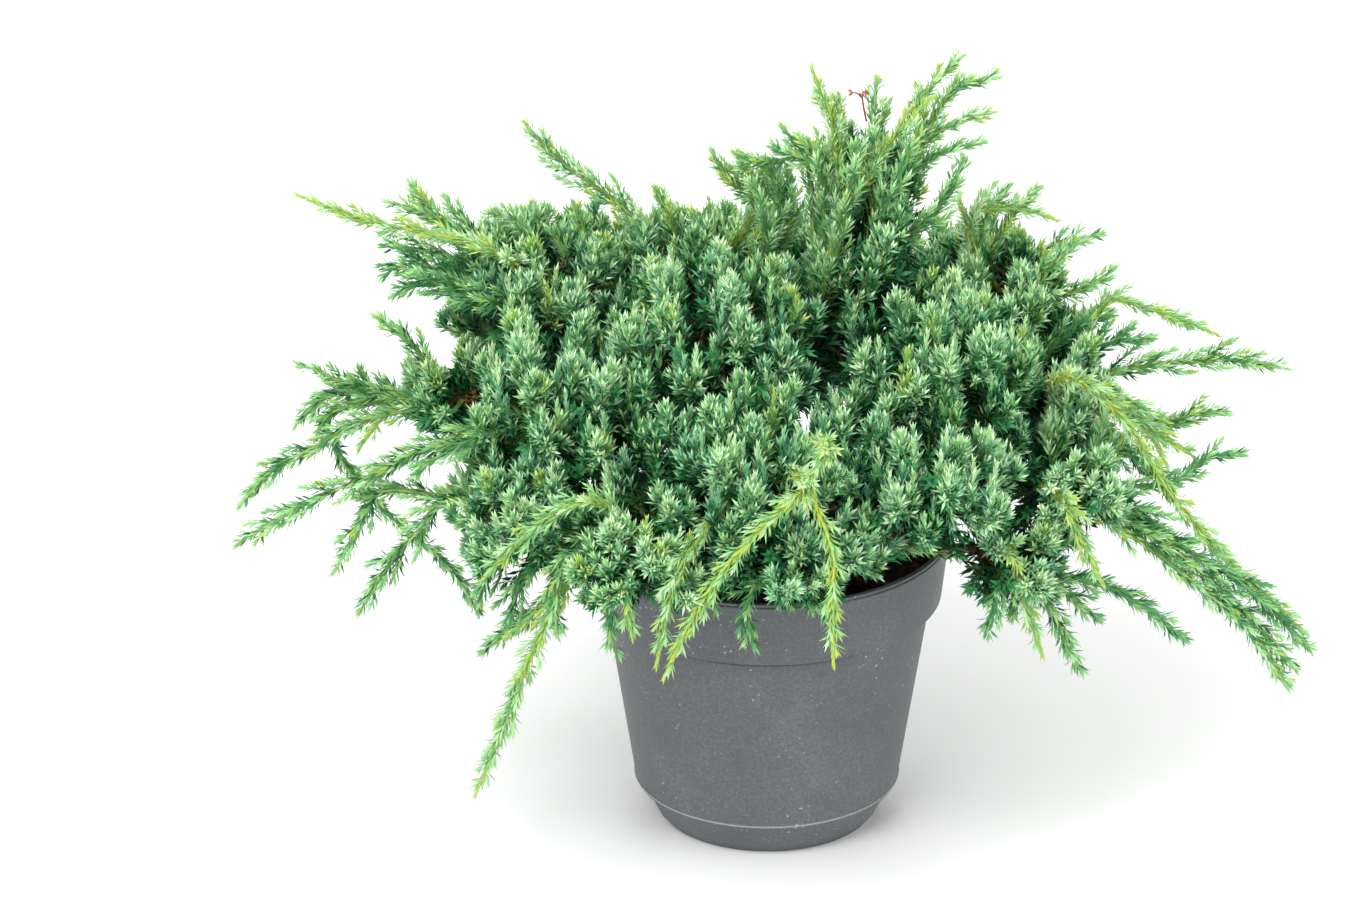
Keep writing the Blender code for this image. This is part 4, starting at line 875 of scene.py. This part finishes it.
@dataclass
class Crown:
    """All the foliage. Sizes are in millimetres."""

    trunk: "Trunk"
    pot: "Pot"
    plume_area: float = 70.0  # square millimetres of lobe, averaged over its three outlines, for each plume
    cap_edges: tuple[float, ...] = (-0.1, 0.1, -0.15, -0.35, -0.35)  # for each tier, how far down plumes go
    blending: float = 6.0  # how softly the lobes run into one another
    outermost: float = 0.90  # depth at which tips end, so that their needles reach the surface
    clumps: tuple[float, float] = (24.0, 0.09)  # size of the crown's clumps, and how far they stand out
    ragged: float = 0.07  # how unevenly the tips of neighbours end
    hidden: float = 0.66  # depth under which no shoot shows
    spires: SideRun = SideRun(0.30, 0.97, 9, 34.0, 0.3, 1.2)
    spire_length: float = 24.0
    spire_lift: float = 2.4  # how far spires turn up with their mass's own lift
    plume_spurs: SideRun = SideRun(0.60, 0.88, 6, 31.0, 0.5, 0.2)
    spire_spurs: SideRun = SideRun(0.14, 0.72, 6, 31.0, 0.5, 0.2)
    spur_lengths: tuple[float, float] = (2.2, 6.0)  # at the tip of the parent and at its foot
    sides: SideRun = SideRun(0.0, 1.0, 0, 30.0, 0.5, 0.12)
    side_step: float = 3.0  # along a leader
    leader_radii: tuple[float, float] = (1.2, 0.4)  # at the foot and at the tip
    sunlit: float = 196.0  # height above which side shoots are a step paler
    shade_shoots: int = 100
    shade_depth: float = 0.86
    warmth: tuple[float, float] = (0.1, 1.15)  # below the first a spray is bluer, above the second yellower
    masses: list[Mass] = field(default_factory=list)

    def __post_init__(self) -> None:
        """Lays out the masses and spreads the boughs of each tier round the trunk."""
        self.masses = [Mass(name, *row) for name, row in MASSES.items()]
        for tier in (0, *self.trunk.tiers):
            members = sorted((mass for mass in self.masses if mass.tier == tier), key=lambda mass: mass.bearing)
            step = math.tau / max(len(members), 1)
            offset = sum(mass.bearing - step * place for place, mass in enumerate(members))
            offset /= max(len(members), 1)
            for place, mass in enumerate(members):
                mass.join(self.trunk, (mass.bearing + step * place + offset) / 2)

    def clear(self, curves: Array) -> Array:
        """Whether each curve's middle and tip keep clear of the pot and the floor."""
        points = curve_points(curves, np.array((0.4, 0.7, 1.0)))
        radius, height = np.hypot(points[..., 0], points[..., 1]), points[..., 2]
        outside = (radius > self.pot.outer_radius(height) + 2.5) & (height > 8.0)
        return (outside | (height > self.pot.height + 2.5)).all(1)

    def depth(self, points: Array) -> Array:
        """How far out places lie in the crown: 1 at its surface, less inside, more outside. The lobes'
        own radii r run together as (sum of r^-blending)^(-1/blending)."""
        radii = np.stack([mass.lobe_radius(points) for mass in self.masses])
        return (np.maximum(radii, 0.05) ** -self.blending).sum(0) ** (-1.0 / self.blending)

    def held_in(self, curves: Array, rng: np.random.Generator) -> Array:
        """Curves cut short about their roots where their tips would leave the crown. Those that would
        be too short, that would still leave it or that lie too deep to show are left out."""
        size, proud = self.clumps
        limit = self.outermost + rng.normal(0.0, self.ragged, len(curves))
        limit = limit + proud * waves(curves[:, 2], size, 11)
        low, high = self.depth(curves[:, 0]), self.depth(curves[:, 2])
        share = np.where(high > limit, (limit - low) / np.maximum(high - low, 0.02), 1.0)
        cut = curves[:, :1] + (curves - curves[:, :1]) * np.clip(share, 0.0, 1.0)[:, None, None]
        tips = self.depth(cut[:, 2])
        return cut[(share > 0.42) & (tips < limit + 0.06) & (tips > self.hidden)]

    def ranks(self, curves: Array, rng: np.random.Generator) -> Array:
        """How pale shoots are, on the scale of the first six tints: dark teal inside the crown and paler at its
        surface, which is painted shade, and greener near the top and at the sides, where they are young."""
        tips = curves[:, 2]
        young = (tips[:, 2] - 130.0) / 140.0 + 0.5 * (np.abs(tips[:, 0]) / 150.0) ** 2
        # painted shade: the deeper a shoot's tip lies in the crown, the darker its tints
        out = np.clip((self.depth(tips) - self.hidden) / (self.outermost - self.hidden), 0.0, 1.2)
        return 0.8 + 1.9 * out + young + rng.normal(0.0, 0.45, len(curves))

    def families(self, curves: Array, rng: np.random.Generator) -> Array:
        """Which family of tints each spray takes: neighbours tend to share one."""
        warmth = 0.6 * waves(curves[:, 0], 34.0, 12) + rng.normal(0.0, 0.6, len(curves))
        tips = curves[:, 2]
        warmth = warmth + (tips[:, 2] - 140.0) / 160.0 + 0.7 * (np.abs(tips[:, 0]) / 150.0) ** 2
        return np.digitize(warmth, self.warmth)

    @staticmethod
    def zones(families: Array, ranks: Array, spread: float) -> Array:
        """Tints low, in the middle and at the tip of shoots of those families and ranks. The darker foot is painted
        shade; the paler tip is partly painted light and partly the paler young growth.
        """
        steps = ranks[:, None] + spread * np.array((-1.1, 0.0, 1.2))
        return FAMILIES[families[:, None], np.clip(np.round(steps), 0, 5).astype(int)]

    def grow(self, mass: Mass, rng: np.random.Generator) -> list[Shoots]:
        """All the shoots of one mass.

        Args:
            mass: the mass.
            rng: seeded source of the small differences.

        Returns:
            Its plumes, their spires, the spurs of both, its leaders, their side shoots and the shoots in
            its shade.
        """
        area = np.mean(mass.halves * np.roll(mass.halves, 1))
        edge = self.cap_edges[mass.tier]
        plumes = mass.plume_curves(round(area * (1.0 - edge) / self.plume_area), edge, rng)
        plumes = self.held_in(plumes[self.clear(plumes)], rng)
        owner, at = self.spires.places(plumes)
        room = 0.8 * curve_lengths(plumes)[owner] * (1.0 - at) + 5.0
        lengths = np.minimum(self.spire_length, room / math.cos(math.radians(self.spires.angle)))
        run = replace(self.spires, lift=self.spires.lift + self.spire_lift * mass.lift)
        spires = side_curves(plumes, owner, at, lengths, run, rng)
        spires = self.held_in(spires[self.clear(spires)], rng)
        return [self.shaded(mass, rng),
                *self.spurred(ShootKind.PLUME, plumes, 0.62, (0.95, 0.5), self.plume_spurs, rng),
                *self.spurred(ShootKind.SPIRE, spires, 0.35, (0.55, 0.2), self.spire_spurs, rng),
                *[shoots for leader in mass.leader_chains() for shoots in self.long_shoots(*leader, rng)]]

    def spurred(self, kind: ShootKind, parents: Array, first: float, wood: tuple[float, float],
                run: SideRun, rng: np.random.Generator) -> list[Shoots]:
        """Shoots and the spurs along them, which shrink towards the tip.

        Args:
            kind: the kind of the shoots.
            parents: their curves.
            first: share at which their own needles begin.
            wood: their radius at the foot and at the tip.
            run: how the spurs stand.
            rng: seeded source of the small differences.

        Returns:
            The shoots and their spurs.
        """
        ranks, families = self.ranks(parents, rng), self.families(parents, rng)
        owner, at = run.places(parents)
        short, long = self.spur_lengths
        left = (1.0 - at) / (1.0 - run.first)
        lengths = short + (long - short) * left * np.minimum(curve_lengths(parents)[owner] / 18.0, 1.0)
        spurs = side_curves(parents, owner, at, lengths, run, rng)
        chosen = self.clear(spurs)
        count = int(chosen.sum())
        return [Shoots(kind, parents, first, self.zones(families, ranks, 1.5), np.tile(wood, (len(parents), 1)),
                       TwigSkin.GREEN),
                Shoots(ShootKind.SPUR, spurs[chosen], 0.08, self.zones(families[owner], ranks[owner] + 0.2, 1.4)[chosen],
                       np.tile((0.4, 0.15), (count, 1)), TwigSkin.GREEN)]

    def long_shoots(self, full: float, age: Age, chain: Array, rng: np.random.Generator) -> list[Shoots]:
        """A long leader, whose last curve is leafier, and the side shoots along it.

        Args:
            full: length of the side shoots at its foot.
            age: its colours.
            chain: its curves, end to end.
            rng: seeded source of the small differences.

        Returns:
            The leader's curves but the last, the last, and the side shoots.
        """
        growth = age.value
        lengths = curve_lengths(chain)
        ends = np.cumsum(lengths)
        behind = np.arange(growth.bare_tip, 0.9 * ends[-1], self.side_step)
        owner = np.searchsorted(ends, ends[-1] - behind)
        at = 1.0 - (behind - (ends[-1] - ends[owner])) / lengths[owner]
        sizes = np.minimum(full, growth.least_side + growth.side_growth * (behind - growth.bare_tip))
        sides = side_curves(chain, owner, at, sizes, self.sides, rng)
        sides = sides[self.clear(sides) & (self.depth(sides[:, 2]) > self.hidden)]
        lead = np.array([TINTS.index(tint) for tint in growth.lead])
        side = np.array(growth.side) + rng.integers(0, 2, (len(sides), 1)) + (sides[:, 2, 2:] > self.sunlit)
        side = np.minimum(side, 5)
        side = FAMILIES[rng.integers(1, 3, (len(sides), 1)), side]
        radius = np.interp(np.concatenate((ends - lengths, ends)), (0.0, ends[-1]), self.leader_radii)
        radius = radius.reshape(2, -1).T
        split = len(chain) - 1
        if age is Age.DEAD:
            return [Shoots(ShootKind.DRY, chain[split:], 0.9, lead[None], radius[split:] * 0.8, growth.skin)]
        made = [Shoots(ShootKind.TIP, chain[split:], 0.25 if split == 0 else 0.0, lead[None], radius[split:],
                       growth.skin),
                Shoots(ShootKind.SIDE, sides, 0.1, side,
                       np.tile((0.5, 0.2), (len(sides), 1)), TwigSkin.GREEN)]
        if split:
            made.append(Shoots(ShootKind.LEADER, chain[:split], 0.0, np.tile(lead, (split, 1)),
                               radius[:split], growth.skin))
        return made

    def shaded(self, mass: Mass, rng: np.random.Generator) -> Shoots:
        """Dark shoots inside a mass, from its stem into the inner part of its lobe and of its seams with its
        neighbours. Their SHADE and DEEP tints are painted shade."""
        count = self.shade_shoots
        roots = curve_points(mass.stem[None], rng.uniform(0.2, 1.0, count))[0]
        tips = mass.lobe_points(unit(rng.normal(size=(count, 3))) * rng.uniform(0.4, 1.3, (count, 1)))
        curves = np.stack((roots, (roots + tips) / 2 - UP * 3.0, tips), 1)
        curves = curves[self.clear(curves) & (self.depth(tips) < self.shade_depth)]
        count = len(curves)
        # painted shade: SHADE low and in the middle, DEEP at the tip
        return Shoots(ShootKind.SHADE, curves, 0.15, np.tile((0, 0, 1), (count, 1)),
                      np.tile((0.9, 0.3), (count, 1)), TwigSkin.BROWN)

    def build(self) -> None:
        """Grows every mass, then joins the needles by tint and the twigs by skin."""
        rng = np.random.default_rng(SEED)
        groups = [shoots for mass in self.masses for shoots in self.grow(mass, rng)]
        nodes = [f"mass_{mass.name}" for mass in self.masses]
        corners, tints = (np.concatenate(parts) for parts in zip(*(group.needles(rng) for group in groups)))
        log.info("%d shoots, %d needles", sum(len(group.curves) for group in groups), len(corners))
        for number, tint in enumerate(TINTS):
            chosen = corners[tints == number]
            if len(chosen):
                self.join_needles(tint, chosen, nodes)
        for kind in ShootKind:
            log.info("%s: %d shoots", kind.name, sum(len(group.curves) for group in groups if group.kind is kind))
        for twig_skin in TwigSkin:
            parts = [group.twigs() for group in groups if group.skin is twig_skin and len(group.curves)]
            if not parts:
                continue
            shifts = np.cumsum([0] + [len(points) for points, _ in parts[:-1]])
            points = np.concatenate([points for points, _ in parts])
            faces = np.concatenate([faces + shift for (_, faces), shift in zip(parts, shifts)])
            piece = make_piece(f"twigs_{twig_skin.name.lower()}", points, faces, [twig_skin.value.material()],
                               smooth_angle=70.0)
            fasten(piece, nodes)

    def join_needles(self, tint: Tint, corners: Array, nodes: list[str]) -> None:
        """Pieces of one tint, of under 190,000 triangles each."""
        most = 190_000 // len(NEEDLE_FACES)
        for part, chosen in enumerate(np.array_split(corners, math.ceil(len(corners) / most))):
            faces = NEEDLE_FACES + np.arange(len(chosen))[:, None, None] * len(NEEDLE_CORNERS)
            piece = make_piece(f"needles_{tint.name.lower()}_{part + 1}", chosen.reshape(-1, 3),
                               faces.reshape(-1, 3), tint.finishes(), np.tile(NEEDLE_SIDES, len(chosen)))
            fasten(piece, nodes)


# Limbs


@dataclass
class Trunk:
    """The short trunk, its boughs and the stems inside the masses, all in flaky bark."""

    foot: float = 88.0
    rise: tuple[float, ...] = (0.0, 4.0, 10.0, 22.0, 34.0, 41.7)
    radius: tuple[float, ...] = (9.6, 7.4, 6.4, 5.6, 4.6, 3.2)
    lean: float = 0.05
    tiers: dict[int, float] = field(default_factory=lambda: {1: 103.0, 2: 109.0, 3: 115.5, 4: 122.0})
    relief: float = 0.10  # height of the bark's strips, as a share of the radius
    grain: float = 0.22  # how much slower the bark changes along a limb than round it

    def axis(self, height: float) -> Array:
        """The middle of the trunk at a height."""
        return np.array((self.lean * (height - self.foot), 0.0, height))

    def radius_at(self, height: float | Array) -> float | Array:
        """The trunk's radius at a height."""
        return np.interp(height - self.foot, self.rise, self.radius)

    def build_trunk(self, sides: int = 72, rings: int = 90) -> None:
        """The trunk: radius(height) (1 + buttresses that fade above the foot) (1 + bark relief)."""
        heights = np.linspace(self.foot - 1.0, self.foot + self.rise[-1] + 1.5, rings)
        turn = np.arange(sides) * math.tau / sides
        base = self.radius_at(heights)[:, None]
        place = np.stack(np.broadcast_arrays(base * np.cos(turn), base * np.sin(turn),
                                             self.grain * heights[:, None]), -1)
        fade = np.exp(-(heights - self.foot) / 5.0)[:, None]
        buttress = 1.0 + 0.16 * fade * np.cos(5.0 * turn + 0.6)
        bark = 1.0 + self.relief * 0.6 * waves(place, 5.0, 3) + self.relief * 0.4 * waves(place, 2.2, 4)
        radius = base * buttress * bark
        centres = np.stack([self.axis(height) for height in heights])[:, None]
        spokes = np.stack((np.cos(turn), np.sin(turn), 0 * turn), -1)
        points, faces = skin((centres + radius[..., None] * spokes)[None])
        self.finish_limb("bark_trunk", points, faces, place.reshape(-1, 3), ["trunk"])

    def build_limbs(self, name: str, curves: Array, ends: tuple[float, float], nodes: list[str],
                    sides: int = 16, rings: int = 26) -> None:
        """Tapering limbs with bark relief along quadratic curves.

        Args:
            name: the piece's name.
            curves: the limbs' curves.
            ends: radius at the root and at the tip.
            nodes: the nodes that the piece stands for.
            sides: points round a limb.
            rings: rings along a limb.
        """
        t = np.linspace(0.0, 1.0, rings)
        turn = np.arange(sides) * math.tau / sides
        base = np.interp(t, (0.0, 0.12, 1.0), (ends[0] * 1.25, ends[0], ends[1]))[None, :, None]
        along = curve_lengths(curves)[:, None, None] * t[None, :, None] * self.grain
        number = np.arange(len(curves))[:, None, None] * 37.0
        place = np.stack(np.broadcast_arrays(base * np.cos(turn), base * np.sin(turn), along + number), -1)
        radii = base * (1.0 + self.relief * waves(place, 2.4, 5))
        points, faces = skin(tubes(curves, t, radii, sides))
        self.finish_limb(name, points, faces, place.reshape(len(curves), -1, 3), nodes)

    def finish_limb(self, name: str, points: Array, faces: Array, place: Array, nodes: list[str]) -> None:
        """Makes a piece of bark, with the place of each point on its limb as an attribute in metres."""
        piece = make_piece(name, points, faces, [self.bark], smooth_angle=50.0)
        place = place.reshape(-1, place.shape[-2], 3)
        place = np.concatenate((place, place[:, (0, -1)]), axis=1).reshape(-1, 3)
        attribute = piece.data.attributes.new("limb_place", "FLOAT_VECTOR", "POINT")
        attribute.data.foreach_set("vector", (place * MM).astype(np.float32).ravel())
        fasten(piece, nodes)

    def build(self, masses: list[Mass]) -> None:
        """Builds the trunk, the boughs and the stems."""
        self.bark = FlakyBark().material()
        self.build_trunk()
        boughs = [mass for mass in masses if mass.bough is not None]
        self.build_limbs("bark_boughs", np.stack([mass.bough for mass in boughs]), (1.9, 1.4),
                         [f"bough_{mass.name}" for mass in boughs])
        self.build_limbs("bark_stems", np.stack([mass.stem for mass in masses]), (1.4, 0.9),
                         [f"mass_{mass.name}" for mass in masses], sides=10, rings=16)


# Pot and soil


@dataclass
class Pot:
    """The round nursery pot. Its outline is (radius, height) up the outside, from foot to lip."""

    height: float = 100.0
    foot: tuple[tuple[float, float], ...] = ((34.8, 0.0), (39.4, 5.4), (42.7, 12.2))
    body_top: tuple[float, float] = (52.6, 77.2)
    band: tuple[tuple[float, float], ...] = ((56.2, 77.2), (58.6, 97.4))
    wall: float = 1.7
    floor: float = 2.4
    ridge_height: float = 12.9
    ridge_proud: float = 0.35
    lip: float = 0.55
    groove_depth: float = 0.8  # of the shadow line under the band
    drains: tuple[float, ...] = (18.0, 162.0, 198.0, 342.0)
    drain_width: float = 18.0
    drain_height: float = 11.5
    drain_inset: float = 34.0  # of a slot's inner end from the pot's axis
    drain_cut: float = 14.0  # depth of a cutter from there outwards
    drain_below: float = 2.0  # and how far it goes on below the pot
    segments: int = 176

    def outer_radius(self, height: Array) -> Array:
        """Radius of the outer wall at a height."""
        outline = np.array((*self.foot, self.body_top, (self.band[0][0], self.body_top[1] + 0.01), self.band[1]))
        return np.interp(height, outline[:, 1], outline[:, 0])

    def profile(self) -> Array:
        """The closed outline: underside, chamfered foot, ridge, body, band, beaded lip, inside and floor."""
        ridge = self.ridge_height + np.array((-0.7, -0.25, 0.25, 0.7))
        proud = self.outer_radius(ridge) + np.array((0.0, self.ridge_proud, self.ridge_proud, 0.0))
        band_low, band_high = self.band
        top, rim = self.height, band_high[0] + self.lip
        groove = self.body_top[0] - self.groove_depth
        outer = [(0.0, 0.0), *self.foot, *zip(proud, ridge), (self.body_top[0], self.body_top[1] - 2.0),
                 (groove, self.body_top[1] - 1.2), (groove, self.body_top[1]), band_low, band_high,
                 (rim, band_high[1] + 0.4), (rim, band_high[1] + 1.2), (rim - 0.45, band_high[1] + 1.45),
                 (rim - 0.1, band_high[1] + 1.8), (rim - 0.1, top - 0.1), (rim - 0.5, top)]
        inner = [(band_high[0] - 1.2, top), (band_high[0] - self.wall, top - 1.2),
                 (band_low[0] - self.wall, band_low[1] + 2.0), (self.body_top[0] - self.wall, self.body_top[1]),
                 (self.foot[2][0] - self.wall, self.foot[2][1]), (self.foot[1][0] - self.wall - 2.4, self.floor),
                 (0.0, self.floor)]
        return np.array(outer + inner)

    def build(self) -> None:
        """Turns the pot, cuts the drain slots in its foot and dresses it."""
        outline = rounded(self.profile(), 0.45)
        grid = turned(outline, self.segments)
        grid[:, 0, :, :2] = 0.0
        points, faces = skin(grid[:, 1:-1])
        piece = make_piece("pot_shell", points, faces, [MouldedPlastic().material()])
        for number, bearing in enumerate(self.drains):
            self.cut_drain(piece, number, math.radians(bearing))
        apply_modifiers(piece)
        piece.data.shade_smooth()
        piece.data.set_sharp_from_angle(angle=math.radians(32.0))
        fasten(piece, ["pot"])

    def cut_drain(self, piece: bpy.types.Object, number: int, bearing: float) -> None:
        """Gives the pot a cut for one drain slot: a box that leaves an arch in the foot."""
        near, far, half = self.drain_inset, self.drain_inset + self.drain_cut, self.drain_width / 2
        ring = np.array(((near, -half, 0.0), (far, -half, 0.0), (far, half, 0.0), (near, half, 0.0)))
        grid = np.stack((ring - self.drain_below * UP, ring + self.drain_height * UP))[None]
        turn = np.array(((math.cos(bearing), math.sin(bearing), 0), (-math.sin(bearing), math.cos(bearing), 0),
                         (0, 0, 1)))
        points, faces = skin(grid @ turn)
        cutter = make_piece(f"drain_cutter_{number + 1}", points, faces, [])
        cut = piece.modifiers.new(cutter.name, "BOOLEAN")
        cut.operation = "DIFFERENCE"
        cut.object = cutter
        cutter.hide_render = True


def apply_modifiers(piece: bpy.types.Object) -> None:
    """Makes a piece's modifiers part of its mesh, and takes away the cutters that they used."""
    graph = bpy.context.evaluated_depsgraph_get()
    mesh = bpy.data.meshes.new_from_object(piece.evaluated_get(graph), depsgraph=graph)
    cutters = [modifier.object for modifier in piece.modifiers if modifier.type == "BOOLEAN"]
    piece.modifiers.clear()
    piece.data = mesh
    for cutter in cutters:
        bpy.data.objects.remove(cutter, do_unlink=True)


@dataclass
class Soil:
    """The potting mix: a crumbly surface with flakes of bark on it."""

    top: float = 88.0
    radius: float = 54.0
    side: tuple[tuple[float, float], ...] = ((40.0, 60.0), (47.5, 60.0), (49.3, 76.0), (53.0, 80.0), (54.0, 85.0))
    flakes: int = 620
    segments: int = 150
    rings: int = 44

    def build(self) -> None:
        """Builds the mix and its flakes."""
        self.build_mix()
        self.build_flakes()

    def build_mix(self) -> None:
        """The mix: rings inwards over a top whose height is the level + waves of crumbs and clods."""
        reach = np.linspace(1.0, 0.02, self.rings) * self.radius
        outline = np.column_stack((reach, np.full(self.rings, self.top)))
        grid = turned(outline, self.segments)
        flat = grid * (1.0, 1.0, 0.0)
        grid[..., 2] += 0.9 * waves(flat, 11.0, 7) + 0.5 * waves(flat, 4.5, 8) + 0.25 * waves(flat, 2.2, 9)
        side = turned(np.array(self.side), self.segments)
        points, faces = skin(np.concatenate((side, grid), axis=1))
        finish = PeatMix("moist_peat_mix", "#0d0a08", "#1c1510", "#30241a")
        piece = make_piece("soil_mix", points, faces, [finish.material()], smooth_angle=60.0)
        fasten(piece, ["soil"])

    def build_flakes(self) -> None:
        """Flakes of bark: squashed, turned and skewed blocks of twelve triangles, strewn evenly."""
        rng = np.random.default_rng(SEED + 1)
        count = self.flakes
        reach = np.sqrt(rng.uniform(0.02, 0.96, count)) * self.radius
        turn = rng.uniform(0.0, math.tau, count)
        centres = np.stack((reach * np.cos(turn), reach * np.sin(turn), np.full(count, self.top + 0.6)), 1)
        block = np.array([(x, y, z) for z in (-1, 1) for x, y in ((-1, -1), (1, -1), (1, 1), (-1, 1))], float)
        halves = np.stack((rng.uniform(1.2, 3.4, count), rng.uniform(0.7, 1.9, count),
                           rng.uniform(0.3, 0.9, count)), 1) * rng.uniform(0.6, 1.1, (count, 1))
        corners = block * halves[:, None] * rng.uniform(0.62, 1.15, (count, 8, 3))
        first = unit(rng.normal(size=(count, 3)) * (1.0, 1.0, 0.35))
        second = unit(np.cross(first, unit(rng.normal(size=(count, 3)) * (0.4, 0.4, 1.0))))
        axes = np.stack((first, second, np.cross(first, second)), 1)
        grid = (corners @ axes + centres[:, None]).reshape(count, 2, 4, 3)
        points, faces = skin(grid)
        finish = PeatMix("composted_bark_flake", "#241610", "#4a3020", "#6e4d34", crumb=5.0)
        piece = make_piece("soil_flakes", points, faces, [finish.material()])
        fasten(piece, ["soil"])


# Studio


@dataclass(frozen=True)
class Studio:
    """A pale floor, soft light and the camera at the photograph's angle. Lengths are in metres."""

    elevation: float = 24.7
    distance: float = 3.0
    target: tuple[float, float, float] = (-0.0273, 0.0, 0.1251)
    lens_share: float = 0.08209  # focal length as a share of the distance, which gives the photo's scale
    floor_size: float = 12.0

    def build(self) -> None:
        """Builds floor, light and camera."""
        self.add_floor()
        self.add_world()
        self.add_light("key_light", (-0.9, -1.3, 1.9), 1.6, 46.0)
        self.add_light("fill_light", (1.5, -1.0, 1.2), 1.8, 13.0)
        self.add_light("back_light", (0.3, 1.5, 1.7), 1.4, 16.0)
        self.add_camera()
        bpy.context.scene.view_settings.view_transform = "Standard"

    def add_floor(self) -> None:
        """A pale matte floor."""
        half = self.floor_size * 500.0
        corners = np.array(((-half, -half, 0.0), (half, -half, 0.0), (half, half, 0.0), (-half, half, 0.0)))
        finish = PlainFinish("studio_floor_paper", "#f4f4f4", 0.9, 0.1)
        floor = make_piece("studio_floor", corners, np.array(((0, 1, 2, 3),)), [finish.material()])

    def add_world(self) -> None:
        """An even white surrounding."""
        world = bpy.data.worlds.new("studio_world")
        world.use_nodes = True
        world.node_tree.nodes["Background"].inputs["Color"].default_value = linear("#ffffff")
        world.node_tree.nodes["Background"].inputs["Strength"].default_value = 0.8
        bpy.context.scene.world = world

    def add_light(self, name: str, place: tuple[float, float, float], size: float, power: float) -> None:
        """A soft square light that points at the plant."""
        light = bpy.data.lights.new(name, "AREA")
        light.size = size
        light.energy = power
        lamp = bpy.data.objects.new(name, light)
        lamp.location = place
        lamp.rotation_euler = (Vector(self.target) - Vector(place)).to_track_quat("-Z", "Y").to_euler()
        bpy.context.scene.collection.objects.link(lamp)

    def add_camera(self) -> None:
        """The camera: in front of the plant, looking down at it."""
        lean = math.radians(self.elevation)
        data = bpy.data.cameras.new("camera")
        data.sensor_width = 36.0
        data.lens = self.lens_share * self.distance * 1000.0
        camera = bpy.data.objects.new("camera", data)
        back = Vector((0.0, -math.cos(lean), math.sin(lean)))
        camera.location = Vector(self.target) + back * self.distance
        camera.rotation_euler = (-back).to_track_quat("-Z", "Y").to_euler()
        bpy.context.scene.collection.objects.link(camera)
        bpy.context.scene.camera = camera


def main() -> None:
    """Builds the looks in order."""
    logging.basicConfig(level=logging.INFO, format="%(name)s: %(message)s")
    pot, trunk = Pot(), Trunk()
    pot.build()
    Soil().build()
    crown = Crown(trunk, pot)
    trunk.build(crown.masses)
    crown.build()
    Studio().build()


if __name__ == "__main__":
    main()
